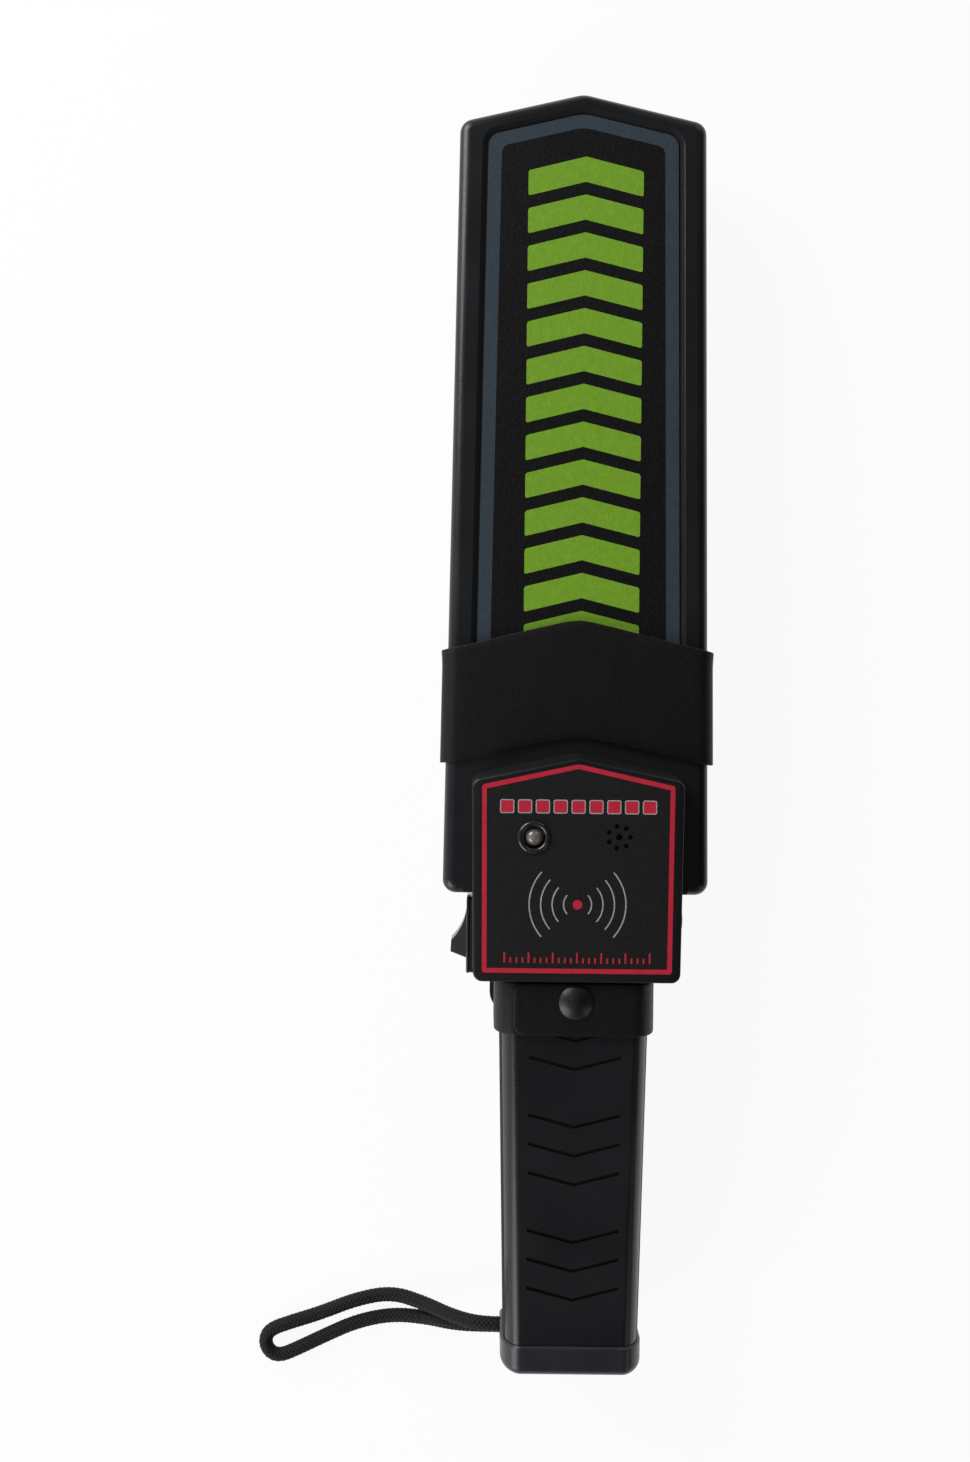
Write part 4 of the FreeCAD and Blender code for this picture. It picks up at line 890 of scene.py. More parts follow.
    def paint(self, *finishes: Finish) -> None:
        """Gives the mesh these finishes, one slot each."""
        self.obj.data.materials.clear()
        for finish in finishes:
            self.obj.data.materials.append(finish.material)

    def leather_wall(self, thick: float, side: float, soften: float) -> None:
        """Gives an open sheet leather's thickness, with cut edges that are softened.

        Args:
            thick: the leather's thickness.
            side: 1 where it grows outwards, -1 where it grows inwards.
            soften: how far the edges are broken.
        """
        self.shut()
        # The rim faces take the lighter cut-edge leather, which is partly painted highlight.
        self.paint(Finish.LEATHER, Finish.CUT_EDGE)
        self.modify("SOLIDIFY", thickness=thick * MM, offset=side, use_even_offset=True,
                    material_offset_rim=1)
        self.soften(soften, 50)

    def close(self, finish: Optional[Finish], body: Optional[str], smooth_deg: float = 35.0,
              slot: Optional[str] = None) -> bpy.types.Object:
        """Ends the work on the piece.

        Args:
            finish: its finish, or None where it has its finishes already.
            body: the body it rides on, or None where it is left without one.
            smooth_deg: edges sharper than this stay crisp.
            slot: not used.

        Returns:
            The finished object.
        """
        self.shut()
        bpy.ops.object.select_all(action="DESELECT")
        self.obj.select_set(True)
        bpy.context.view_layer.objects.active = self.obj
        bpy.ops.object.shade_smooth_by_angle(angle=math.radians(smooth_deg))
        if finish is not None:
            self.paint(finish)
        if body is not None:
            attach(self.obj, body)
        log.info("%s: %d faces", self.obj.name, len(self.obj.data.polygons))
        return self.obj


def gable(low_half: float, low_y: float, high_half: float, shoulder_y: float, apex_y: float) -> List[Spot]:
    """Anticlockwise outline with a straight foot, from its left corner, and a pointed top."""
    return [(-low_half, low_y), (low_half, low_y), (high_half, shoulder_y), (0.0, apex_y),
            (-high_half, shoulder_y)]


def moved_in(corners: Sequence[Spot], wide: Union[float, Sequence[float]]) -> List[Spot]:
    """The same anticlockwise outline with its sides moved inwards.

    Args:
        corners: the outline.
        wide: how far every side moves, or one distance for each, the side before the first corner first.

    Returns:
        The new corners.
    """
    sides = []
    for i, (x, y) in enumerate(corners):
        px, py = corners[i - 1]
        long = math.hypot(x - px, y - py)
        ux, uy = (x - px) / long, (y - py) / long
        move = wide if isinstance(wide, (int, float)) else wide[i]
        sides.append((px - uy * move, py + ux * move, ux, uy))
    moved = []
    for i, (x, y, ux, uy) in enumerate(sides):
        qx, qy, vx, vy = sides[(i + 1) % len(sides)]
        reach = ((qx - x) * vy - (qy - y) * vx) / (ux * vy - uy * vx)
        moved.append((x + ux * reach, y + uy * reach))
    return moved


def arc(cx: float, cz: float, rx: float, rz: float, first_deg: float, last_deg: float,
        steps: int) -> List[Spot]:
    """Points on an ellipse's arc, ends included, with angles from +X towards +Z."""
    turns = [math.radians(first_deg + (last_deg - first_deg) * i / steps) for i in range(steps + 1)]
    return [(cx + rx * math.cos(turn), cz + rz * math.sin(turn)) for turn in turns]


def run(a: Spot, b: Spot, steps: int) -> List[Spot]:
    """Points between two places, both ends left out."""
    return [(a[0] + (b[0] - a[0]) * i / steps, a[1] + (b[1] - a[1]) * i / steps)
            for i in range(1, steps)]


# Sub-assemblies


@dataclass
class FilmPrint:
    """What the prints of both films share: the ink and a line that follows the film's outline."""

    film_top: float
    ink: float
    line: float
    apex_y: float
    shoulder_y: float
    shoulder_half: float
    low_y: float
    low_half: float
    outer_reach: Tuple[float, ...]
    inner_reach: Tuple[float, ...]

    def frame(self, name: str, outline: Sequence[Spot], wide: float, outer: Sequence[float],
              inner: Sequence[float]) -> Workpiece:
        """Printed frame between an outline and the same outline moved inwards.

        Args:
            name: the piece's name.
            outline: the outer outline, anticlockwise, in millimetres.
            wide: width of the frame.
            outer: how far each outer corner is cut back.
            inner: how far each inner corner is cut back.

        Returns:
            The workpiece, in edit mode.
        """
        piece = Workpiece.bridged(name, (moved_in(outline, wide), self.film_top, inner),
                                  (outline, self.film_top, outer))
        piece.thicken(self.ink)
        return piece

    def border(self, name: str, finish: Finish) -> None:
        """Line that follows the film's outline."""
        outline = gable(self.low_half, self.low_y, self.shoulder_half, self.shoulder_y, self.apex_y)
        self.done(self.frame(name, outline, self.line, self.outer_reach, self.inner_reach), finish)

    @staticmethod
    def done(piece: Workpiece, finish: Finish) -> None:
        """Ends the work on a print."""
        piece.close(finish, "wand", slot="printed_film")


@dataclass
class PaddlePrint(FilmPrint):
    """Print on the paddle's sunk film: a border stripe and a column of chevrons."""

    film_top: float = 38.5
    ink: float = 0.06
    line: float = 4.3
    apex_y: float = 198.15
    shoulder_y: float = 191.0
    shoulder_half: float = 30.45
    low_y: float = 8.0
    low_half: float = 32.75
    outer_reach: Tuple[float, ...] = (0.0, 0.0, 3.2, 3.0, 3.2)
    inner_reach: Tuple[float, ...] = (0.0, 0.0, 2.1, 2.4, 2.1)
    chevron_x: float = 0.9
    chevron_half: float = 18.5
    chevron_rise: float = 4.6
    chevron_deep: float = 8.1
    chevron_reach: float = 0.7
    chevron_pitch: float = 12.15
    chevron_top: float = 184.4
    chevron_count: int = 14

    def build(self) -> None:
        """Builds both prints."""
        self.border("paddle_stripe", Finish.STRIPE)
        self.column()

    def column(self) -> None:
        """Green chevrons that point at the tip, modelled once and copied."""
        low = -self.chevron_deep
        piece = Workpiece.plane("paddle_chevrons", -self.chevron_half, self.chevron_half, low, 0.0,
                                self.film_top)
        bpy.ops.mesh.subdivide(number_cuts=1)
        piece.pick(Part.CORNER, lambda place: abs(place.x) < SAME)
        bpy.ops.transform.translate(value=(0.0, self.chevron_rise * MM, 0.0))
        piece.pick_all()
        bpy.ops.mesh.dissolve_limited(angle_limit=math.radians(0.5))
        piece.round_corners({(side * self.chevron_half, y): self.chevron_reach
                             for side in (-1, 1) for y in (low, 0.0)}, 4)
        piece.thicken(self.ink)
        piece.pick_all()
        bpy.ops.transform.translate(value=metres(self.chevron_x, self.chevron_top - self.chevron_rise, 0.0))
        piece.repeat(self.chevron_count, 0.0, -self.chevron_pitch)
        self.done(piece, Finish.GREEN)


@dataclass
class PanelPrint(FilmPrint):
    """Print on the control panel: a red line, a level scale, a search mark and a ruler."""

    film_top: float = 49.5
    ink: float = 0.05
    line: float = 1.5
    apex_y: float = -10.4
    shoulder_y: float = -17.1
    shoulder_half: float = 30.35
    low_y: float = -76.1
    low_half: float = 29.8
    outer_reach: Tuple[float, ...] = (0.9, 0.9, 0.8, 1.2, 0.8)
    inner_reach: Tuple[float, ...] = (0.0,) * 5
    levels: int = 9
    level_wide: float = 4.5
    level_high: float = 4.4
    level_pitch: float = 5.6
    level_y: float = -26.0
    level_reach: float = 0.7
    block_reach: float = 0.5
    outline_wide: float = 0.32
    mark_y: float = -54.5
    mark_radii: Tuple[float, ...] = (4.6, 8.2, 11.8, 15.4)
    mark_wide: float = 0.42
    mark_open_deg: float = 42.0
    dot: float = 1.5
    ticks: int = 25
    tick_wide: float = 0.55
    tick_high: float = 1.7
    tick_long: float = 3.3
    tick_pitch: float = 1.9
    tick_y: float = -72.9
    ticks_per_long: int = 4

    def build(self) -> None:
        """Builds every print."""
        self.border("panel_line", Finish.RED)
        self.scale()
        self.mark()
        self.ruler()

    def scale(self) -> None:
        """Row of level blocks, red with a thin pale outline, modelled once and copied."""
        left = -(self.levels - 1) / 2 * self.level_pitch - self.level_wide / 2
        right = left + self.level_wide
        top = self.level_y + self.level_high
        box = [(left, self.level_y), (right, self.level_y), (right, top), (left, top)]
        inner = (self.block_reach,) * 4
        block = Workpiece.plate("panel_levels", moved_in(box, self.outline_wide), self.film_top, inner)
        block.thicken(self.ink)
        block.repeat(self.levels, self.level_pitch, 0.0)
        self.done(block, Finish.RED)
        rim = self.frame("panel_level_rims", box, self.outline_wide, (self.level_reach,) * 4, inner)
        rim.repeat(self.levels, self.level_pitch, 0.0)
        self.done(rim, Finish.PALE)

    def mark(self) -> None:
        """Search mark: a red dot between thin arcs that spread to both sides."""
        turn = math.radians(self.mark_open_deg)
        for number, radius in enumerate(self.mark_radii):
            piece = Workpiece.disc("panel_arc_%d" % (number + 1), self.mark_y, self.film_top, radius, 96)
            piece.ring(self.mark_wide)
            piece.trim((0.0, self.mark_y), (math.cos(turn), self.mark_y - math.sin(turn)))
            piece.trim((math.cos(turn), self.mark_y + math.sin(turn)), (0.0, self.mark_y))
            piece.thicken(self.ink)
            piece.modify("MIRROR", use_axis=(True, False, False))
            self.done(piece, Finish.PALE)
        dot = Workpiece.disc("panel_dot", self.mark_y, self.film_top, self.dot, 40)
        dot.thicken(self.ink)
        self.done(dot, Finish.RED)

    def ruler(self) -> None:
        """Row of red ticks, one in four of them long."""
        first = -(self.ticks - 1) / 2 * self.tick_pitch - self.tick_wide / 2
        piece = Workpiece.plane("panel_ticks", first, first + self.tick_wide, self.tick_y,
                                self.tick_y + self.tick_high, self.film_top)
        piece.thicken(self.ink)
        piece.repeat(self.ticks, self.tick_pitch, 0.0)

        def stretch(place: Vector) -> Vector:
            """Makes the long ticks long."""
            rank = round((place.x / MM - first - self.tick_wide / 2) / self.tick_pitch)
            if rank % self.ticks_per_long == 0 and place.y > (self.tick_y + self.tick_high / 2) * MM:
                place.y = (self.tick_y + self.tick_long) * MM
            return place

        piece.mould(stretch)
        self.done(piece, Finish.RED)


@dataclass
class ControlShell:
    """Control cover: a hollow shell whose walls lean in, with the film's recess and the holes through it."""

    low_z: float = 39.0
    high_z: float = 49.5
    low_y: float = -79.2
    low_half: float = 32.8
    shoulder_y: float = -13.8
    shoulder_half: float = 33.7
    apex_y: float = -6.75
    side_lean: float = 0.25
    slope_lean: float = 2.0
    edge: float = 0.6
    wall: float = 2.2
    over: float = 1.0
    reach: Tuple[float, ...] = (3.5, 3.5, 3.0, 1.3, 3.0)
    film_apex_y: float = -6.88
    film_margin: float = 3.1
    film_deep: float = 0.3
    film_reach: Tuple[float, ...] = (1.0, 1.0, 0.9, 0.4, 0.9)
    lamp: Tuple[float, float, float] = (-13.9, -33.5, 4.4)
    grille: Tuple[float, float, float] = (12.9, -33.2, 3.5)
    grille_holes: int = 7
    hole: float = 0.75
    middle_hole: float = 1.05
    posts: Tuple[Tuple[float, float, float, float], ...] = (
        (21.0, -27.5, 43.5, 2.6), (29.4, -20.5, 39.0, 2.7), (27.2, -73.0, 39.0, 2.7))

    def ring(self, move: float, z: float, shrink: float) -> Ring:
        """The shell's outline at one height.

        Args:
            move: how far it is moved in.
            z: the height.
            shrink: how much smaller its corners are.

        Returns:
            The outline, the height and the corners' rounding.
        """
        share = (z - self.low_z) / (self.high_z - self.low_z)
        corners = gable(self.low_half, self.low_y, self.shoulder_half, self.shoulder_y, self.apex_y)
        side = move + self.side_lean * share
        slope = move + self.slope_lean * share
        reach = [value * shrink for value in self.reach]
        return moved_in(corners, (side, side, side, slope, slope)), z, reach

    def build(self) -> None:
        """Builds the shell."""
        shell = Workpiece.tapered("control_shell", self.ring(0.0, self.low_z, 1.0),
                                  self.ring(0.0, self.high_z, 0.8))
        shell.pick(Part.EDGE, lambda middle: middle.z > self.high_z * MM - SAME * 10)
        bpy.ops.mesh.bevel(offset=self.edge * MM, offset_type="OFFSET", segments=5, affect="EDGES")
        shell.carve(Workpiece.tapered("shell_room", self.ring(self.wall, self.low_z - self.over, 0.4),
                                      self.ring(self.wall, self.high_z - self.wall, 0.3)))
        for x, y, low, radius in self.posts:
            for side in (-1, 1):
                shell.add(Workpiece.rod("shell_post", side * x, y, low, self.high_z - self.wall / 2, radius))
        film = gable(self.low_half, self.low_y, self.shoulder_half, self.shoulder_y, self.film_apex_y)
        recess = Workpiece.plate("shell_recess", moved_in(film, self.film_margin),
                                 self.high_z - self.film_deep, self.film_reach)
        recess.thicken(2 * self.over)
        shell.carve(recess)
        x, y, away = self.grille
        holes = [(*self.lamp, 64), (x, y, self.middle_hole, 32)]
        for i in range(self.grille_holes):
            turn = math.tau * i / self.grille_holes
            holes.append((x + away * math.cos(turn), y + away * math.sin(turn), self.hole, 24))
        for x, y, radius, sides in holes:
            shell.carve(Workpiece.rod("shell_hole", x, y, self.high_z - self.wall - self.over,
                                      self.high_z + self.over, radius, sides))
        # Faces tilted more than sixty degrees from flat take the darker wall material, which is painted
        # shade.
        shell.paint(Finish.COVER, Finish.COVER_WALL)
        for face in shell.obj.data.polygons:
            face.material_index = int(abs(face.normal.z) < 0.5)
        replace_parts(shell.close(None, "wand", 40, "cover_black"), "control_cover")


@dataclass
class RockerSwitch:
    """Rocker with a dished face and a blunt raised end, and the rim on its frame's flange."""

    low_z: float = 20.5
    wide: float = 11.0
    corners: Tuple[Spot, ...] = (
        (-35.0, -57.9), (-39.9, -68.5), (-40.1, -72.2), (-34.6, -74.3), (-32.5, -74.75), (-30.2, -75.0),
        (-30.0, -57.6), (-32.0, -57.52))
    dish_at: Spot = (-51.72, -56.60)
    dish_radius: float = 16.77
    soften: float = 0.6
    rim: float = 1.2
    rim_soften: float = 0.5
    room_x: Spot = (-40.0, -30.0)
    room_y: Spot = (-75.8, -57.2)
    room_z: Spot = (20.2, 31.8)
    over: float = 2.0

    def build(self) -> None:
        """Builds both pieces."""
        rocker = Workpiece.plate("rocker_key", self.corners, self.low_z)
        rocker.thicken(self.wide)
        rocker.carve(Workpiece.rod("rocker_dish", *self.dish_at, self.low_z - self.over,
                                   self.low_z + self.wide + self.over, self.dish_radius, 192))
        rocker.soften(self.soften, 25)
        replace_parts(rocker.close(Finish.ROCKER, "rocker", 40, "trim_gloss"), "power_rocker")
        low, high = (Vector(corner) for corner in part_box("switch_frame"))
        rim = Workpiece.block("switch_rim", Vector((low.x - self.rim * MM, low.y, low.z)),
                              Vector((low.x, high.y, high.z)))
        near, far = (metres(*corner) for corner in zip(self.room_x, self.room_y, self.room_z))
        rim.carve(Workpiece.block("rim_room", near, far))
        rim.soften(self.rim_soften, 40)
        rim.close(Finish.TRIM, "wand", 40, "trim_gloss")


@dataclass
class PaddleBand:
    """Leather band round the paddle: pointed above and below, its flaps behind."""

    thick: float = 1.6
    gap: float = 0.2
    low_z: float = 7.4
    high_z: float = 39.2
    corner: float = 3.6
    back_corner: float = 1.0
    middle_half: float = 41.95
    middle_y: float = 14.0
    taper: float = 0.01248
    flap_end: float = 28.8
    side_top: float = 25.2
    side_low: float = -11.1
    point_top: float = 35.6
    point_low: float = -2.1
    blunt_share: float = 0.006
    drop_share: float = 0.05
    ease: float = 0.22
    flare: float = 0.35
    flare_share: float = 0.82
    soften: float = 0.32
    rows: int = 14

    def profile(self) -> List[Spot]:
        """The band's inner line across the paddle, from flap to flap."""
        side = self.middle_half + self.gap
        left = [(-self.flap_end, self.low_z)]
        left += run(left[-1], (-side + self.back_corner, self.low_z), 5)
        left += arc(-side + self.back_corner, self.low_z + self.back_corner, self.back_corner,
                    self.back_corner, 270, 180, 4)
        left += run(left[-1], (-side, self.high_z - self.corner), 8)
        left += arc(-side + self.corner, self.high_z - self.corner, self.corner, self.corner, 180, 90, 8)
        left += run(left[-1], (0.0, self.high_z), 14)
        return left + [(0.0, self.high_z)] + [(-x, z) for x, z in reversed(left)]

    def moulded(self, place: Vector) -> Vector:
        """Gives the band its pointed edges, the paddle's taper and the leather's ease."""
        x, share, z = (value / MM for value in place)
        side = self.middle_half + self.gap
        away = abs(x) / side
        point = 1 - min(1.0, math.sqrt(away * away + self.blunt_share) - self.drop_share)
        top = self.side_top + (self.point_top - self.side_top) * point
        low = self.side_low + (self.point_low - self.side_low) * point
        y = low + (top - low) * share
        x *= 1 + (self.middle_y - y) * self.taper / side
        if z > self.high_z - 0.5:
            z += self.ease * math.sin(math.pi * share) * (1 - away ** 4)
        if away > 0.9 and z > self.low_z + 4:
            flare = max(0.0, share - self.flare_share) / (1 - self.flare_share)
            x += math.copysign(self.flare * flare ** 2, x)
        return metres(x, y, z)

    def build(self) -> None:
        """Builds the band."""
        piece = Workpiece.strip("paddle_band", self.profile(), 0.0, 1.0, self.rows,
                                lambda spot, across: Vector((spot[0] * MM, across * MM, spot[1] * MM)))
        piece.mould(self.moulded)
        piece.face_out(FRONT)
        piece.leather_wall(self.thick, 1.0, self.soften)
        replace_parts(piece.close(None, "wand", 50, "leather_black"), "holster_band")


@dataclass
class NeckStrap:
    """Neck strap: an under half with the snap's stud, and an over half, the one that opens, modelled shut.
    """

    thick: float = 1.3
    half: float = 24.45
    corner_x: float = 5.75
    corner_z: float = 10.15
    under_z: float = 44.15
    over_z: float = 45.6
    foot_x: float = 22.6
    foot_z: float = 10.3
    top_y: float = -79.8
    low_y: float = -96.4
    under_end: float = 7.5
    over_end: float = -19.5
    end_reach: float = 3.0
    end_round: float = 2.4
    swell: float = 0.12
    swell_from_z: float = 30.0
    soften: float = 0.38
    hinge_x: float = 18.69
    hinge_y: float = -88.0
    hinge_z: float = 46.2
    bend_half: float = 1.6
    foot_bend: float = 0.5
    face_long: float = 1.6
    rows: int = 8

    def profile(self, top: float, corner_z: float, end_x: float) -> List[Spot]:
        """Inner line of one strap, drawn on the right, from its foot to its free end."""
        points = [(self.foot_x, self.foot_z), (self.half - self.foot_bend, self.foot_z),
                  (self.half, self.foot_z + self.foot_bend)]
        points += run(points[-1], (self.half, top - corner_z), 8)
        points += arc(self.half - self.corner_x, top - corner_z, self.corner_x, corner_z, 0, 90, 12)
        count = max(8, round(abs(points[-1][0] - end_x) / self.face_long))
        points += run(points[-1], (end_x, top), count)
        return points + [(end_x, top)]

    def strip(self, name: str, points: List[Spot], free_x: float) -> Workpiece:
        """One strap with softly rounded corners at its free end.

        Args:
            name: the piece's name.
            points: its inner line.
            free_x: where it ends.

        Returns:
            The workpiece.
        """
        piece = Workpiece.strip(name, points, self.low_y, self.top_y, self.rows,
                                lambda spot, across: metres(spot[0], across, spot[1]))
        middle = (self.low_y + self.top_y) / 2
        wide = (self.top_y - self.low_y) / 2

        def soften(place: Vector) -> Vector:
            """Rounds the free end and lets the strap swell a little between its edges."""
            x, y, z = (value / MM for value in place)
            share = (y - middle) / wide
            near = 1 - abs(x - free_x) / self.end_reach
            if z > self.under_z - 1 and near > 0:
                pull = 1 - math.sqrt(max(0.0, 1 - near ** 2))
                y -= math.copysign(self.end_round * pull * abs(share) ** 3, share)
            if z > self.swell_from_z:
                z += self.swell * (1 - share ** 2)
            return metres(x, y, z)

        piece.mould(soften)
        piece.face_out(FRONT)
        piece.leather_wall(self.thick, 1.0, self.soften)
        return piece

    def build(self) -> None:
        """Builds both halves."""
        under = [(-x, z) for x, z in self.profile(self.under_z, self.corner_z, -self.under_end)]
        piece = self.strip("neck_strap_under", under, self.under_end)
        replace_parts(piece.close(None, "wand", 50, "leather_black"), "neck_strap_left")
        lift = self.over_z - self.under_z
        over = self.profile(self.over_z, self.corner_z + lift, self.over_end)
        piece = self.strip("neck_strap_over", over, self.over_end)
        strap = piece.close(None, None, 50, "leather_black")
        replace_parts(strap, "neck_strap_right", "neck_strap_flap")
        metres(self.hinge_x + self.bend_half, self.hinge_y, self.hinge_z)
        metres(self.hinge_x - self.bend_half, self.hinge_y, self.hinge_z)
        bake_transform(strap)


@dataclass
class HolsterBack:
    """Back panel, belt loop and their stitching."""

    thick: float = 1.6
    panel_z: float = 7.4
    half: float = 40.6
    side_top: float = 25.2
    point_y: float = 34.4
    neck_top: float = -30.0
    neck_low: float = -46.0
    tongue_half: float = 27.1
    tongue_low: float = -96.0
    loop_half: float = 19.0
    loop_top: float = 14.0
    loop_low: float = -36.0
    loop_rise: float = 5.0
    loop_foot: float = 11.0
    bend_at_foot: Tuple[Spot, ...] = ((-1.2, 0.0), (0.1, -0.35), (1.1, -1.3))
    bend_at_back: Tuple[Spot, ...] = ((-1.2, 1.3), (-0.2, 0.35), (1.2, 0.0))
    tongue_reach: float = 7.0
    neck_reach: float = 4.0
    hip_reach: float = 4.5
    side_reach: float = 4.0
    point_reach: float = 1.6
    panel_soften: float = 0.35
    loop_soften: float = 0.4
    stitch_pitch: float = 3.6
    stitch_half: Tuple[float, float, float] = (1.25, 0.34, 0.26)
    stitch_sink: float = 0.05
    end_row: Tuple[Spot, Spot] = ((-17.5, -93.4), (17.5, -93.4))
    side_rows: Tuple[Tuple[Spot, Spot], ...] = (
        ((24.5, -87.0), (24.5, -49.0)), ((38.0, -27.0), (38.0, -13.0)), ((26.5, -42.0), (35.0, -29.0)),
        ((25.5, 28.6), (2.5, 31.9)))

    def build(self) -> None:
        """Builds the three pieces."""
        self.panel()
        self.loop()
        self.stitches()

    def panel(self) -> None:
        """Leather panel, cut from a plate, the tongue drawn out of its lower edge."""
        piece = Workpiece.plane("holster_panel", -self.half, self.half, self.neck_low,
                                self.point_y + Workpiece.spare, self.panel_z)
        piece.trim((self.half, self.side_top), (0.0, self.point_y))
        piece.trim((0.0, self.point_y), (-self.half, self.side_top))
        piece.trim((-self.half, self.neck_top), (-self.tongue_half, self.neck_low))
        piece.trim((self.tongue_half, self.neck_low), (self.half, self.neck_top))
        piece.pick(Part.EDGE, lambda middle: middle.y < self.neck_low * MM + SAME)
        bpy.ops.mesh.extrude_region_move(
            TRANSFORM_OT_translate={"value": metres(0.0, self.tongue_low - self.neck_low, 0.0)})
        piece.pick_all(Part.FACE)
        bpy.ops.mesh.dissolve_limited(angle_limit=math.radians(0.5))
        for x, y, reach in ((self.tongue_half, self.tongue_low, self.tongue_reach),
                            (self.tongue_half, self.neck_low, self.neck_reach),
                            (self.half, self.neck_top, self.hip_reach),
                            (self.half, self.side_top, self.side_reach)):
            piece.round_corners({(-x, y): reach, (x, y): reach})
        piece.round_corners({(0.0, self.point_y): self.point_reach})
        piece.thicken(self.thick)
        piece.soften(self.panel_soften, 50)
        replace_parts(piece.close(Finish.LEATHER, "wand", 50, "leather_black"), "holster_back")

    def loop(self) -> None:
        """Belt loop, a strap bent away from the panel between its two feet."""
        foot = self.panel_z - self.thick
        bend = [(-self.loop_foot, foot)] + [(x, foot + z) for x, z in self.bend_at_foot]
        bend += [(self.loop_rise + x, z) for x, z in self.bend_at_back]
        points = [(self.loop_top + self.loop_rise - x, z) for x, z in bend]
        last = [(self.loop_low - self.loop_rise + x, z) for x, z in reversed(bend)]
        points += run(points[-1], last[0], 16) + last
        piece = Workpiece.strip("belt_strap", points, -self.loop_half, self.loop_half, 10,
                                lambda spot, across: metres(across, spot[0], spot[1]))
        piece.face_out(-FRONT)
        piece.leather_wall(self.thick, -1.0, self.loop_soften)
        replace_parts(piece.close(None, "wand", 50, "leather_black"), "belt_loop")

    def stitches(self) -> None:
        """Rows of waxed thread round the panel's edge, one stitch modelled and copied."""
        rows = [self.end_row]
        rows += [((side * a[0], a[1]), (side * b[0], b[1])) for a, b in self.side_rows for side in (-1, 1)]
        Workpiece.clear()
        bpy.ops.mesh.primitive_uv_sphere_add(segments=8, ring_count=6, radius=1.0)
        piece = Workpiece("panel_stitches")
        piece.obj.scale = metres(*self.stitch_half)
        piece.settle()
        shape = piece.obj.data.copy()
        made = bmesh.new()
        for a, b in rows:
            count = max(2, int(math.dist(a, b) / self.stitch_pitch))
            turn = Matrix.Rotation(math.atan2(b[1] - a[1], b[0] - a[0]), 3, "Z")
            for i in range(count):
                share = (i + 0.5) / count
                at = metres(a[0] + (b[0] - a[0]) * share, a[1] + (b[1] - a[1]) * share,
                            self.panel_z - self.stitch_sink)
                first = len(made.verts)
                made.from_mesh(shape)
                made.verts.ensure_lookup_table()
                for corner in made.verts[first:]:
                    corner.co = turn @ corner.co + at
        made.to_mesh(piece.obj.data)
        made.free()
        piece.close(Finish.THREAD, "wand", 60, "leather_black")


